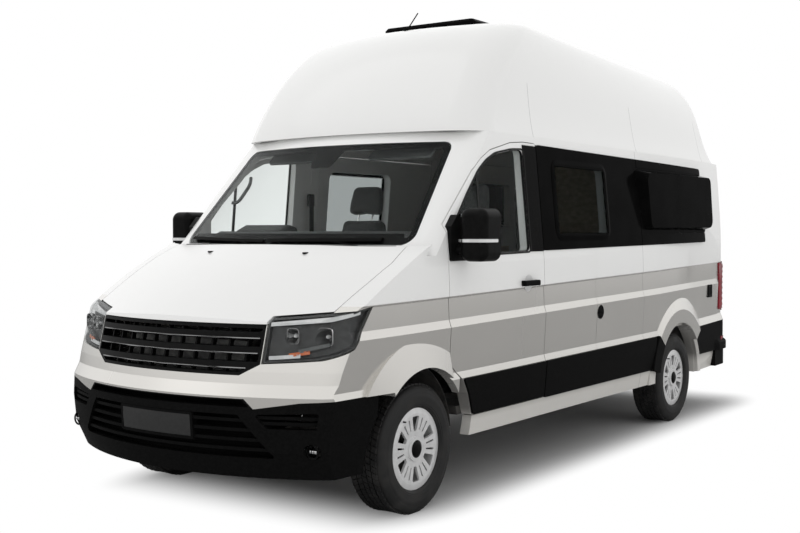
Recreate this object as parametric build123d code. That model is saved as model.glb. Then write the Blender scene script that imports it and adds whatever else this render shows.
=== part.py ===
"""Camper van with a high moulded roof: one assembly of named pieces.

Millimetres. +X forward, +Y to the vehicle's left, +Z up. The origin lies on
the ground, midway along the vehicle.
"""
import math
import os

from build123d import *

os.makedirs("parts", exist_ok=True)

# Overall
LENGTH = 5986
FRONT_OVERHANG = 991
WHEELBASE = 3640
TRACK = 1722
SEAT = 0.3          # gap between pieces that rest on each other
GAP = 5             # shut line round a moving panel

# Wheels
TYRE_R = 348
TYRE_W = 235
RIM_R = 220
RIM_W = 190
BEAD_R = 203
HUB_R = 62
TRIM_WINDOWS = 6
TREAD_GROOVES = 4
KINGPIN_Y = 760
ARCH_R = 440
WING_LIP = 58
FLARE_WIDTH = 120
WING_FLARE_WIDTH = 155
FLARE_Y = 1038      # half width at the arch's edge
FLARE_EDGE_Y = 1002 # half width where the flare runs out

# Body
HALF = LENGTH / 2
FRONT_X = HALF - FRONT_OVERHANG
REAR_X = FRONT_X - WHEELBASE
WHEEL_Y = TRACK / 2
WALL = 60
NOSE_WALL = 34
SILL_Z = 350
SILL_TOP = 464
ROOF_BASE = 2105
ROOF_WALL = 40
REAR_FACE = -2930
REAR_CORNER_R = 200
DOOR_REAR_X = 640
DOOR_FRONT_X = 1742
DOOR_TOP_Z = 2062
PANEL_SPLIT_X = -912
SLIDE_FRONT_X = 550
FLOOR_Z = 470
FLOOR_T = 50
INNER_TOP = 2040
GLAZING_T = 6
PANE_T = 4
GLASS_T = 5
CLADDING_T = 14

# Side section at the cab door's rear edge: half width, height, rise of the
# point towards the rear in mm per metre.
SECTION = [
    # half_width, height, rise
    (965, 290, 0),
    (996, 464, 0),
    (1016, 700, 9),
    (1005, 738, 9),
    (1020, 1003, 18),
    (1006, 1046, 18),
    (1001, 1166, 21),
    (1010, 1180, 21),
    (1004, 1340, 16),
    (930, ROOF_BASE, 0),
]
INNER_SECTION = [0, 1, 7, 9]
STATIONS = [
    # x, inset of the side
    (3000, 90),
    (FRONT_X, 8),
    (DOOR_REAR_X, 0),
    (-1200, 0),
    (-2960, 85),
]

# Plan of the nose by height
NOSE = [
    # z, x_front, half_width
    (290, HALF - 70, 960),
    (430, HALF - 14, 990),
    (580, HALF, 995),
    (700, HALF - 6, 995),
    (760, HALF - 40, 992),
    (820, HALF - 52, 990),
    (1060, HALF - 112, 980),
    (1500, HALF - 240, 970),
]
NOSE_INNER = [0, 2, 6, 7]
NOSE_BOW = 290
NOSE_CORNER_R = 220

# Bonnet surface: height at the middle and at the edge of a wide section
BONNET = [
    # x, z_middle, z_edge
    (1650, 1562, 1515),
    (2150, 1425, 1300),
    (2500, 1270, 1090),
    (3040, 995, 700),
]
BONNET_SPAN = 1100
BONNET_HINGE = (1940, 1420)
BONNET_PIN_R = 8
BONNET_EYE_R = 15
BONNET_EYE_Y = (806, 842)
BONNET_PLAN = [(1960, 868), (2140, 898), (2320, 888), (2470, 872), (2590, 860), (2990, 860)]

# Windscreen surface by height
SCREEN = [
    # z, x_front, half_width
    (1380, 2137, 1004),
    (ROOF_BASE, 1446, 956),
]
SCREEN_BOW = 240
SCREEN_CORNER_R = 140
SCREEN_BASE_Z = 1436
SCREEN_TOP_Z = 2040
SCREEN_BASE_Y = 868
SCREEN_TOP_Y = 785
SCREEN_T = 6
COWL_T = 30
WIPER_T = 18
WIPERS = [
    # outline across and up
    [(-770, 1464), (-60, 1450), (-60, 1466), (-440, 1474), (-770, 1482)],
    [(-20, 1452), (700, 1458), (700, 1476), (320, 1476), (-20, 1468)],
]
WIPER_ARMS = [(-150, -330), (560, 330)]

# High roof, plan sections by height
ROOF = [
    # z, x_front, bow, front_half, x_rear, rear_half, front_r, rear_r
    (ROOF_BASE, 1475, 165, 932, -2905, 866, 250, 185),
    (2270, 1402, 170, 904, -2805, 818, 240, 175),
    (2620, 1131, 180, 868, -2705, 722, 270, 190),
    (2840, 781, 160, 785, -2240, 536, 240, 180),
    (2952, 280, 90, 340, -650, 420, 150, 130),
]

# Cab door, left side
DOOR = [
    (DOOR_REAR_X, SILL_TOP + GAP), (1508, SILL_TOP + GAP), (1562, 600),
    (1636, 700), (DOOR_FRONT_X, 786), (DOOR_FRONT_X, 1548), (1572, 1715),
    (1420, 1863), (1320, 1935), (1205, 1991), (956, 2049),
    (800, DOOR_TOP_Z), (DOOR_REAR_X, DOOR_TOP_Z),
]
DOOR_WINDOW = [
    (815, 1392), (1615, 1378), (1632, 1580), (1512, 1712), (1362, 1858),
    (1262, 1925), (1150, 1972), (950, 2006), (815, 2014),
]
DOOR_PILLAR = (648, 812, 1388, 2046)
HANDLE = (845, 1196)
MIRROR = (1042, 1213, 1346, 1640)
MIRROR_X = (1540, 1712)
MIRROR_SAIL = [
    (1736, 1348), (1560, 1348), (1560, 1392), (1600, 1470), (1628, 1590),
    (1672, 1606), (1736, 1540),
]

# Rear doors
REAR_DOOR_Y = 800
REAR_DOOR_Z0 = 570
REAR_DOOR_Z1 = 2098
REAR_DOOR_T = 55
REAR_WINDOW = (150, 690, 1330, 1900)
REAR_HINGE_X = -2942
REAR_HINGE_R = 13
REAR_HINGE_H = 80
REAR_HINGES = [640, 1300, 1950]

# Bed pods
POD_FACE = [(-900, 1945), (-2225, 1955), (-2300, 1545), (-1000, 1540)]
POD_BASE = [(-835, 1985), (-2262, 1990), (-2335, 1500), (-950, 1495)]
POD_OUT = 1042
POD_WALL = 14

# Side windows
BAND = [(-2285, 1424), (628, 1392), (628, 2058), (-2285, 2036)]
SIDE_WINDOW = [(-345, 1482), (430, 1478), (430, 1950), (-345, 1955)]

# Lamps and grille
LAMP = [(2405, 1135), (2940, 1052), (2940, 840), (2700, 878), (2560, 930)]
LAMP_INNER_Y = 600
LENS_T = 6
LAMP_RIM = 18
LAMP_DEPTH = 80
LAMP_BOWLS = [
    # x, y, z, radius
    (2738, 722, 995, 46),
    (2672, 872, 992, 56),
]
GRILLE_HALF = 596
GRILLE_FOOT = 495
GRILLE_Z0 = 800
GRILLE_SHOULDER = 856
GRILLE_Z1 = 1046
GRILLE_BARS = 3
GRILLE_BAR_H = 34
GRILLE_RIBS = 11
PAINT_EDGE = [
    # y, z of the painted bumper's lower edge
    (1100, 694), (820, 678), (600, 642), (550, 690),
]
INTAKE = [(538, 684), (578, 650)]
MOUTH = [(520, 612), (700, 398)]
MOUTH_SLATS = [440, 488, 536, 584]
VENT = [(602, 616), (905, 630), (895, 548), (664, 548)]
VENT_SLATS = [574, 602]
SLAT_H = 16
PLATE = (262, 468, 612)
FOG = (867, 440, 38)
TAIL_LAMP = (820, 1250)

# Skylight
SKY_X0 = -90
SKY_X1 = 470
SKY_HALF = 375
SKY_Z = 2900
SKY_H = 44

# Floor, frame and running gear
FLOOR_FRONT = 1849
RAIL_Y = 440
RAIL_W = 80
RAIL_Z = 400
RAIL_TOP = 490
HOUSE_R = 500
HOUSE_WALL = 30
LINER_R = 455
LINER_T = 7
LINER_Y = 520
AXLE_R = 40
ARM_Z = 240
ARM_T = 40
STRUT_R = 45
STRUT_Y = 580
HUB_DISC_R = 60
KNUCKLE_TOP = 470

# Cab
SEAT_Y = 430
WHEEL_CENTRE = (1425, -SEAT_Y, 1214)
COLUMN_FOOT = (1640, -SEAT_Y, 1130)
STEERING_R = 190
STEERING_GRIP = 15
BOSS_H = 36


FOOT_UP = (Align.CENTER, Align.CENTER, Align.MIN)


def box(x0, x1, y0, y1, z0, z1, r=0):
    b = Pos((x0 + x1) / 2, (y0 + y1) / 2, (z0 + z1) / 2) * Box(x1 - x0, y1 - y0, z1 - z0)
    if r:
        b = fillet(b.edges(), r)
    return b


def face_of(points, r=0):
    f = make_face(Polyline(*points, close=True))
    if r:
        f = fillet(f.vertices(), r)
    return f


def prism_xz(points, y0, y1, r=0):
    return extrude(face_of([(x, y0, z) for x, z in points], r), amount=y1 - y0, dir=(0, 1, 0))


def prism_yz(points, x0, x1, r=0):
    return extrude(face_of([(x0, y, z) for y, z in points], r), amount=x1 - x0, dir=(1, 0, 0))


def prism_xy(points, z0, z1, r=0):
    return extrude(face_of([(x, y, z0) for x, y in points], r), amount=z1 - z0, dir=(0, 0, 1))


def grow(points, d):
    """Polygon with every edge moved outwards by d."""
    n = len(points)
    area = sum(points[i - 1][0] * points[i][1] - points[i][0] * points[i - 1][1] for i in range(n))
    turn = 1 if area > 0 else -1
    lines = []
    for i in range(n):
        (ax, ay), (bx, by) = points[i - 1], points[i]
        length = math.hypot(bx - ax, by - ay)
        nx, ny = turn * (by - ay) / length, turn * (ax - bx) / length
        lines.append((nx, ny, nx * ax + ny * ay + d))
    out = []
    for i in range(n):
        a, b, c = lines[i]
        e, f, g = lines[(i + 1) % n]
        det = a * f - b * e
        out.append(((c * f - b * g) / det, (a * g - c * e) / det))
    return out


def rod(p, q, r):
    a = Vector(*p)
    b = Vector(*q)
    return extrude(Plane(a, z_dir=b - a) * Circle(r), amount=(b - a).length)


def disc_y(x, y0, y1, z, r):
    return Pos(x, y0, z) * Rot(-90, 0, 0) * Cylinder(r, y1 - y0, align=FOOT_UP)


def flip(shape):
    return mirror(shape, about=Plane.XZ)


def both(shape):
    return [*shape.solids(), *flip(shape).solids()]


def side_loft(t, rows=None):
    """Closed body side form, moved inwards by t."""
    picks = SECTION if rows is None else [SECTION[i] for i in rows]
    faces = []
    for x, inset in STATIONS:
        half = [(x, y - inset - t, z + rise * (DOOR_REAR_X - x) / 1000) for y, z, rise in picks]
        other = [(x, -y, z) for _, y, z in reversed(half)]
        faces.append(face_of(half + other))
    return loft(faces)


def plan_face(z, x_front, bow, y_front, x_rear, y_rear, r_front, r_rear=0, rear_bow=0):
    a = (x_front - bow, -y_front, z)
    b = (x_front - bow, y_front, z)
    c = (x_rear + rear_bow, y_rear, z)
    d = (x_rear + rear_bow, -y_rear, z)
    front = ThreePointArc(a, (x_front, 0, z), b)
    if rear_bow:
        rear = ThreePointArc(c, (x_rear, 0, z), d)
    else:
        rear = Line(c, d)
    f = make_face([front, Line(b, c), rear, Line(d, a)])
    f = fillet([v for v in f.vertices() if abs(v.X - a[0]) < 1e-3], r_front)
    if r_rear:
        f = fillet([v for v in f.vertices() if abs(v.X - c[0]) < 1e-3], r_rear)
    return f


def nose_loft(t, rows=None):
    picks = NOSE if rows is None else [NOSE[i] for i in rows]
    faces = []
    for i, (z, x, y) in enumerate(picks):
        level = z - t if i == 0 else z + t if i == len(picks) - 1 else z
        faces.append(plan_face(level, x - t, NOSE_BOW, y - t, 1500 - t, 1120 - t, NOSE_CORNER_R - t / 2))
    return loft(faces, ruled=True)


def bonnet_loft(t):
    faces = []
    for x, mid, edge in BONNET:
        top = ThreePointArc((x, -BONNET_SPAN, edge - t), (x, 0, mid - t), (x, BONNET_SPAN, edge - t))
        rest = Polyline((x, BONNET_SPAN, edge - t), (x, BONNET_SPAN, 200), (x, -BONNET_SPAN, 200),
                        (x, -BONNET_SPAN, edge - t))
        faces.append(make_face([top, *rest.edges()]))
    return loft(faces)


def screen_loft(t):
    faces = [plan_face(z, x - t, SCREEN_BOW, y - t, 0, y - t, SCREEN_CORNER_R) for z, x, y in SCREEN]
    return loft(faces, ruled=True)


def roof_loft(t):
    faces = []
    for i, (z, xf, bow, yf, xr, yr, rf, rr) in enumerate(ROOF):
        drop = t if i else t / 40
        faces.append(plan_face(z - drop, xf - t, bow, yf - t, xr + t, yr - t, rf - t / 4, rr - t / 4, 20))
    return loft(faces)


def arch(x, r, y0, y1):
    return disc_y(x, y0, y1, TYRE_R, r)


NODES = {}


def node(name, *shapes):
    solids = []
    for s in shapes:
        solids += s.solids() if hasattr(s, "solids") else [k for x in s for k in x.solids()]
    NODES[name] = solids[0] if len(solids) == 1 else Compound(children=solids)


# Master forms
SIDE = side_loft(0)
SIDE_IN = side_loft(WALL, INNER_SECTION)
SKIN = side_loft(-SEAT)


def flare(x, width, x_min, x_max):
    """Left wheel arch's flare: a ring whose face leans outwards to the arch's edge."""
    inner = ARCH_R - 20
    ring = face_of([(inner, 860, 0), (inner, FLARE_Y, 0), (ARCH_R, FLARE_Y, 0),
                    (ARCH_R + width, FLARE_EDGE_Y, 0), (ARCH_R + width, 860, 0)])
    return Pos(x, 0, TYRE_R) * revolve(ring, Axis.Y) & box(x_min, x_max, 800, 1100, SILL_Z, 1100)


wing_flare = flare(FRONT_X, WING_FLARE_WIDTH, DOOR_FRONT_X + GAP, 2600)
rear_flare = flare(REAR_X, FLARE_WIDTH, -2600, 0)


def rear_form(x_rear, half, r, x_front, z0, z1):
    f = plan_face(z0, x_front, 0.5, half + 150, x_rear, half, 50, r, 18)
    return extrude(f, amount=z1 - z0, dir=(0, 0, 1))


rear_plan = rear_form(REAR_FACE, 945, REAR_CORNER_R, 2600, 200, ROOF_BASE - SEAT)
rear_plan_in = rear_form(REAR_FACE + REAR_DOOR_T, 885, REAR_CORNER_R - 40, 2500, 100, INNER_TOP + 200)
rear_skin = SKIN & rear_form(REAR_FACE - SEAT, 945 + SEAT, REAR_CORNER_R + SEAT, 0, 200, 1700)
cabin = (SIDE + rear_flare) & rear_plan
cabin_in = SIDE_IN & rear_plan_in

# Rear door hinges: barrel and tab, one set for the pillar and one for the door
hinge_y = REAR_DOOR_Y + GAP / 2
pillar_hinge = []
door_hinge = []
for z in REAR_HINGES:
    half = REAR_HINGE_H / 2
    barrel = Pos(REAR_HINGE_X, hinge_y, z) * Cylinder(REAR_HINGE_R, half, align=FOOT_UP)
    pillar_hinge.append(barrel + box(REAR_HINGE_X, REAR_FACE + 30, hinge_y + 3, hinge_y + 40, z, z + half))
    top = z + half + SEAT
    upper_barrel = Pos(0, 0, half + SEAT) * barrel
    tab = box(REAR_HINGE_X, REAR_FACE + 40, hinge_y - 40, hinge_y - 3, top, top + half)
    door_hinge.append(upper_barrel + tab)

# Left wall
wall_zone = box(REAR_FACE - 50, DOOR_REAR_X - GAP, 0, 1200, SILL_Z, ROOF_BASE - SEAT)
wall_shell = (cabin & wall_zone) - cabin_in
rear_gap = box(REAR_FACE - 50, REAR_FACE + 150, 0, REAR_DOOR_Y + GAP, 200, ROOF_BASE)
wall = wall_shell - rear_gap - arch(REAR_X, ARCH_R, 600, 1200) + pillar_hinge
pod_hole = prism_xz(grow(POD_FACE, -POD_WALL), 700, 1200, 30)
window_hole = prism_xz(SIDE_WINDOW, 700, 1200, 60)
node("side_panel_left", wall - pod_hole - window_hole)

# Right wall with the sliding door cut from it
SLIDE = [(PANEL_SPLIT_X, 478), (SLIDE_FRONT_X, 478), (SLIDE_FRONT_X, DOOR_TOP_Z), (PANEL_SPLIT_X, DOOR_TOP_Z)]
slide_cut = prism_xz(grow(SLIDE, GAP), 700, 1200, 40)
slide_in = prism_xz(SLIDE, 700, 1200, 35)
node("side_panel_right", flip(wall - pod_hole - slide_cut))
node("sliding_door", flip((wall_shell & slide_in) - window_hole))

# Glazing band and bed pods
skin_out = side_loft(-GLAZING_T)
band_zone = prism_xz(BAND, 700, 1200, 25) - prism_xz(POD_BASE, 700, 1200, 40)
split = box(PANEL_SPLIT_X - 4, PANEL_SPLIT_X + 4, 700, 1200, 1000, 2200)
band = ((skin_out & band_zone) - SKIN) - split
slide_band = box(PANEL_SPLIT_X + 4, SLIDE_FRONT_X - 4, 0, 1200, 1000, 3000)
rear_band = box(-3000, PANEL_SPLIT_X, 0, 1200, 0, 3000)
pane = (side_loft(-GLAZING_T - PANE_T) - skin_out) & prism_xz(SIDE_WINDOW, 700, 1200, 60)
band = band + pane
node("side_glazing", [*band.solids(), *flip(band & rear_band).solids(), *flip(band & slide_band).solids()])

face_out = face_of([(x, POD_OUT, z) for x, z in POD_FACE], 60)
face_in = face_of([(x, 900, z) for x, z in POD_BASE], 60)
pod = loft([face_in, face_out], ruled=True) - SKIN
cavity = prism_xz(grow(POD_FACE, -POD_WALL), 700, POD_OUT - POD_WALL, 46)
node("bed_pods", both(pod - cavity))

# Cladding along the sills
clad_skin = side_loft(-CLADDING_T) - SKIN
clad_rear = REAR_X + ARCH_R + FLARE_WIDTH
clad_x0 = clad_rear - 60
clad_x1 = DOOR_REAR_X - GAP - 3
clad_zone = [(clad_x0, SILL_TOP), (clad_x1, SILL_TOP), (clad_x1, 697), (clad_x0, 712)]
clad = (clad_skin & prism_xz(clad_zone, 700, 1200, 12)) - arch(REAR_X, ARCH_R + FLARE_WIDTH + 4, 700, 1200)
node("side_cladding", both(clad))

# Cab frame: pillars, header, scuttle, bulkhead and sills
SCREEN_OUT = screen_loft(0)
cab_front = DOOR_REAR_X - GAP + SEAT
upper = SIDE & SCREEN_OUT & box(cab_front, 2200, -1200, 1200, 1380, ROOF_BASE - SEAT)
upper_in = SIDE_IN & screen_loft(WALL) & box(0, 3000, -1200, 1200, 1300, INNER_TOP)
screen_outline = [(-SCREEN_BASE_Y, SCREEN_BASE_Z), (SCREEN_BASE_Y, SCREEN_BASE_Z),
                  (SCREEN_TOP_Y, SCREEN_TOP_Z), (-SCREEN_TOP_Y, SCREEN_TOP_Z)]
screen_hole = prism_yz(grow(screen_outline, SEAT), 1150, 2400, 60 + SEAT)
door_hole = prism_xz(grow(DOOR, GAP), 600, 1300, 25)
frame = upper - upper_in - screen_hole - door_hole - flip(door_hole)
frame = frame - box(0, DOOR_REAR_X + 400, -760, 760, 0, 3000)
bulkhead = box(FLOOR_FRONT + SEAT, FLOOR_FRONT + 36, -880, 880, FLOOR_Z, 1395)
bulkhead = bulkhead - arch(FRONT_X, LINER_R + LINER_T + SEAT, -1200, 1200)
hinge_pillar = box(1755, FLOOR_FRONT + 36, 868, 930, 832, 1400)
scuttle = screen_loft(20) & box(FLOOR_FRONT + 10, 2200, -880, 880, 1380, 1397)
pin_x, pin_z = BONNET_HINGE
eye_y0, eye_y1 = BONNET_EYE_Y
eye_pocket = disc_y(pin_x, eye_y0 - GAP, eye_y1 + GAP, pin_z, BONNET_EYE_R + GAP)
eye_pocket = eye_pocket + box(pin_x, pin_x + 160, eye_y0 - GAP, eye_y1 + GAP, pin_z - 50, pin_z + 25)
bonnet_pin = disc_y(pin_x, eye_y0 - 12, eye_y1 + 12, pin_z, BONNET_PIN_R)
cab = frame + bulkhead + hinge_pillar + flip(hinge_pillar) + scuttle
cab = cab - eye_pocket - flip(eye_pocket) + bonnet_pin + flip(bonnet_pin)
sill = (SIDE - SIDE_IN) & box(cab_front, 1495, 0, 1200, SILL_Z, SILL_TOP)
node("cab_frame", cab, both(sill))
screen = ((SIDE & SCREEN_OUT) - screen_loft(SCREEN_T)) & prism_yz(screen_outline, 1150, 2400, 60)
node("windscreen", screen)

# Cab doors, cut to the screen's rounded corner at the front
corner_zone = box(1200, 3000, -1200, 1200, 1380, ROOF_BASE)
door_form = (SIDE - SIDE_IN) - (corner_zone - SCREEN_OUT)
cab_skin = SKIN - (corner_zone - screen_loft(-SEAT))
door_zone = prism_xz(DOOR, 700, 1300, 20)
door_window = prism_xz(DOOR_WINDOW, 600, 1300, 30)
node("cab_door_left", (door_form & door_zone) - door_window)
node("cab_door_right", flip(NODES["cab_door_left"]))
glass_zone = prism_xz(grow(DOOR_WINDOW, -SEAT), 600, 1300, 30 - SEAT)
door_glass = (side_loft(16) - side_loft(16 + GLASS_T)) & glass_zone
node("cab_door_glass_left", door_glass)
node("cab_door_glass_right", flip(door_glass))

clad_foot = SILL_TOP + GAP + 4
door_clad_zone = [
    (DOOR_REAR_X + 4, clad_foot), (1500, clad_foot), (1556, 600), (1618, 690), (DOOR_REAR_X + 4, 696),
]
door_clad = clad_skin & prism_xz(door_clad_zone, 700, 1300, 10)
x0, x1, z0, z1 = DOOR_PILLAR
pillar_trim = (skin_out - SKIN) & prism_xz([(x0, z0), (x1, z0), (x1, z1), (x0, z1)], 700, 1300)
x, z = HANDLE
handle = fillet((Pos(x, 1022, z) * Box(190, 44, 34)).edges(), 8) - Pos(x, 1006, z) * Box(146, 40, 60)
door_trim = [*door_clad.solids(), *pillar_trim.solids(), *(handle - SKIN).solids()]
node("cab_door_trim_left", door_trim)
node("cab_door_trim_right", [flip(k) for k in door_trim])

# Mirrors
y0, y1, z0, z1 = MIRROR
x0, x1 = MIRROR_X
mirror_outline = [(y0, z0), (y1, z0), (y1, z1), (y0, z1)]
mirror_shell = prism_yz(mirror_outline, x0, x1, 52)
mirror_shell = fillet(mirror_shell.faces().sort_by(Axis.X)[-1].edges(), 42)
mirror_dish = prism_yz(grow(mirror_outline, -14), x0 - 10, x0 + 16, 40)
mirror_arm = rod((1668, 960, 1408), (1650, 1080, 1408), 30)
mirror_sail = prism_xz(MIRROR_SAIL, 850, 1012, 8)
door_mirror = (mirror_shell - mirror_dish) + ((mirror_arm + mirror_sail) - cab_skin)
node("mirror_left", door_mirror)
node("mirror_right", flip(door_mirror))

# Nose panels
NOSE_OUT = nose_loft(0)
BONNET_OUT = bonnet_loft(0)
nose_out = SIDE & NOSE_OUT & BONNET_OUT
nose_in = side_loft(NOSE_WALL, INNER_SECTION) & nose_loft(NOSE_WALL, NOSE_INNER) & bonnet_loft(NOSE_WALL)
bonnet_points = BONNET_PLAN + [(x, -y) for x, y in reversed(BONNET_PLAN)]
screen_clear = screen_loft(-COWL_T - GAP) & box(0, 3000, -1200, 1200, 1380, 2000)
bonnet_zone = prism_xy(bonnet_points, GRILLE_Z1 + GAP, 1700)
lamp_zone = prism_xz(LAMP, LAMP_INNER_Y, 1200)
lamp_hole = prism_xz(grow(LAMP, SEAT), LAMP_INNER_Y - SEAT, 1200)
lamp_gap = prism_xz(grow(LAMP, GAP), LAMP_INNER_Y - GAP, 1200)
nose_shell = (nose_out - nose_in) & box(1700, 3000, -1200, 1200, 280, 1600)
bonnet_panel = (nose_shell & bonnet_zone) - lamp_gap - flip(lamp_gap) - screen_clear
eye = disc_y(pin_x, eye_y0, eye_y1, pin_z, BONNET_EYE_R) + box(pin_x, 2020, eye_y0, eye_y1, 1396, 1412)
eye = eye - disc_y(pin_x, eye_y0 - 1, eye_y1 + 1, pin_z, BONNET_PIN_R + SEAT)
node("bonnet", bonnet_panel + eye + flip(eye))

bonnet_hole = prism_xy(grow(bonnet_points, GAP), GRILLE_Z1 + SEAT, 1700)
wing_zone = box(DOOR_FRONT_X + GAP, 3000, -1200, 1200, 200, 1700)
wing_ring = arch(FRONT_X, ARCH_R + WING_LIP, -1200, 1200) & box(1000, 3000, -1200, 1200, SILL_Z, 1700)
grille_outline = [(GRILLE_HALF, GRILLE_Z1), (GRILLE_HALF, GRILLE_SHOULDER), (GRILLE_FOOT, GRILLE_Z0)]
grille_outline = grille_outline + [(-y, z) for y, z in reversed(grille_outline)]
grille_hole = prism_yz(grow(grille_outline, SEAT), 2500, 3000)
bumper_outline = [(1100, 200)] + PAINT_EDGE
bumper_outline = bumper_outline + [(-y, z) for y, z in reversed(bumper_outline)]
bumper_hole = prism_yz(grow(bumper_outline, SEAT), 2300, 3000)
nose_flared = (SIDE + wing_flare + flip(wing_flare)) & NOSE_OUT & BONNET_OUT
panels = (nose_flared - nose_in) & (wing_zone + wing_ring)
panels = panels - bonnet_hole - lamp_hole - flip(lamp_hole) - grille_hole - bumper_hole - screen_clear
panels = panels - arch(FRONT_X, ARCH_R, -1200, 1200) - box(0, 3000, -1200, 1200, 0, SILL_Z)
panels = panels - door_hole - flip(door_hole)
panels = panels - box(1000, 1900, -900, 900, 1000, 2000) - box(1000, 1960, -880, 880, 1300, 2000)
node("front_panels", panels)


def across(points):
    """Outline across the nose from its left half."""
    return points + [(-y, z) for y, z in reversed(points)]


# Black lower bumper with its slatted openings and fog lamps
lower = nose_shell & prism_yz(bumper_outline, 2380, 3000)
lower = lower - arch(FRONT_X, ARCH_R + 4, -1200, 1200)
mouth = prism_yz(across(MOUTH), 2600, 3000, 12)
vent = prism_yz(VENT, 2600, 3000, 10)
fog_y, fog_z, fog_r = FOG
fog_hole = rod((2600, fog_y, fog_z), (3000, fog_y, fog_z), fog_r)
recessed = nose_shell & nose_loft(10)
slats = [box(2500, 3000, -720, 720, z - SLAT_H / 2, z + SLAT_H / 2) for z in MOUTH_SLATS]
slats.append(box(2500, 3000, -PLATE[0], PLATE[0], PLATE[1], PLATE[2]))
vent_slats = [box(2500, 3000, 590, 920, z - SLAT_H / 2, z + SLAT_H / 2) for z in VENT_SLATS]
lower = lower - prism_yz(across(INTAKE), 2600, 3000, 4)
for opening, bars in ((mouth, slats), (vent, vent_slats), (flip(vent), [flip(k) for k in vent_slats])):
    lower = lower - (opening - [recessed & k for k in bars])
lower = lower - fog_hole - flip(fog_hole)
node("lower_bumper", lower)

# Grille
grille_zone = prism_yz(grille_outline, 2500, 3000)
grille_body = (nose_out - (nose_loft(48) & bonnet_loft(20))) & grille_zone
opening = prism_yz(grow(grille_outline, -15), 2500, 3000)
pitch = (GRILLE_Z1 - GRILLE_Z0 - 28) / GRILLE_BARS
bars = []
for i in range(GRILLE_BARS):
    z = GRILLE_Z0 + 14 + pitch * (i + 0.5)
    bars.append(box(2500, 3000, -GRILLE_HALF, GRILLE_HALF, z - GRILLE_BAR_H / 2, z + GRILLE_BAR_H / 2))
rib_form = nose_loft(22)
rib_pitch = 2 * GRILLE_HALF / (GRILLE_RIBS + 1)
for i in range(GRILLE_RIBS):
    y = -GRILLE_HALF + rib_pitch * (i + 1)
    bars.append(box(2500, 3000, y - 5, y + 5, GRILLE_Z0, GRILLE_Z1) & rib_form)
node("grille", grille_body - (opening - bars))


def nose_form(t):
    return side_loft(t) & nose_loft(t) & bonnet_loft(t)


# Headlamps: a thin lens over a housing with two bowls, and the fog lamps
behind_lens = nose_form(LENS_T + SEAT)
lens = (nose_out - nose_form(LENS_T)) & lamp_zone
fog_lens = (nose_form(4) - nose_in) & rod((2600, fog_y, fog_z), (3000, fog_y, fog_z), fog_r - SEAT)
node("headlamps", both(lens), both(fog_lens))
deep = side_loft(LAMP_DEPTH, INNER_SECTION) & nose_loft(LAMP_DEPTH, NOSE_INNER) & bonnet_loft(LAMP_DEPTH)
lamp_block = (behind_lens - deep) & prism_xz(grow(LAMP, -4), LAMP_INNER_Y + 4, 1200)
recess = prism_xz(grow(LAMP, -12), LAMP_INNER_Y + 12, 1200) - nose_form(LENS_T + LAMP_RIM)
housing = lamp_block - recess
for x, y, z, r in LAMP_BOWLS:
    bowl = Pos(x, y, z) * Rot(0, 90, 0) * Cone(r * 0.45, r, 56, align=(Align.CENTER, Align.CENTER, Align.MAX))
    housing = housing - bowl - rod((x - 1, y, z), (x + 120, y, z), r)
node("headlamp_housings", both(housing))

# Engine, dashboard, steering wheel and seats
engine = fillet(box(2150, 2680, -300, 300, 470, 985).edges().filter_by(Axis.X), 40)
radiator = box(2706, 2746, -430, 430, RAIL_TOP + SEAT, 960, 8)
between_rails = RAIL_Y - RAIL_W / 2 - SEAT
node("engine", radiator, engine + box(2300, 2600, -between_rails, between_rails, 475, 520))
dash_profile = [
    (1500, 1030), (1480, 1180), (1560, 1330), (1650, 1375),
    (FLOOR_FRONT, 1375), (FLOOR_FRONT, 870), (1700, 880),
]
dash = prism_xz(dash_profile, -845, 845, 25)
hood = prism_xz([(1530, 1320), (1560, 1400), (1700, 1400), (1700, 1320)], -620, -240, 18)
centre = Vector(*WHEEL_CENTRE)
foot = Vector(*COLUMN_FOOT)
axis = (centre - foot).normalized()
column = rod(foot, centre - axis * (BOSS_H / 2 + SEAT), 30)
node("dashboard", dash + hood + column)
wheel_plane = Plane(centre, z_dir=axis, x_dir=(0, 1, 0))
arms = Box(2 * STEERING_R - 10, 36, 14) + Pos(0, -STEERING_R / 2, 0) * Box(36, STEERING_R - 6, 14)
steering = Torus(STEERING_R, STEERING_GRIP) + Cylinder(52, BOSS_H) + arms
node("steering_wheel", wheel_plane.location * steering)

seats = []
for y in (-SEAT_Y, SEAT_Y):
    base = box(760, 1160, y - 190, y + 190, FLOOR_Z + FLOOR_T + SEAT, 800, 12)
    cushion = box(720, 1250, y - 250, y + 250, 795, 960, 45)
    lean = Pos(740, y, 930) * Rot(0, -12, 0)
    back = lean * Pos(0, 0, 340) * fillet(Box(130, 480, 700).edges(), 50)
    rest = lean * Pos(5, 0, 790) * fillet(Box(95, 270, 190).edges(), 40)
    post = lean * Pos(0, 0, 680) * Box(30, 120, 160)
    seats.append(base + cushion + back + rest + post)
node("cab_seats", seats)

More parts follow.
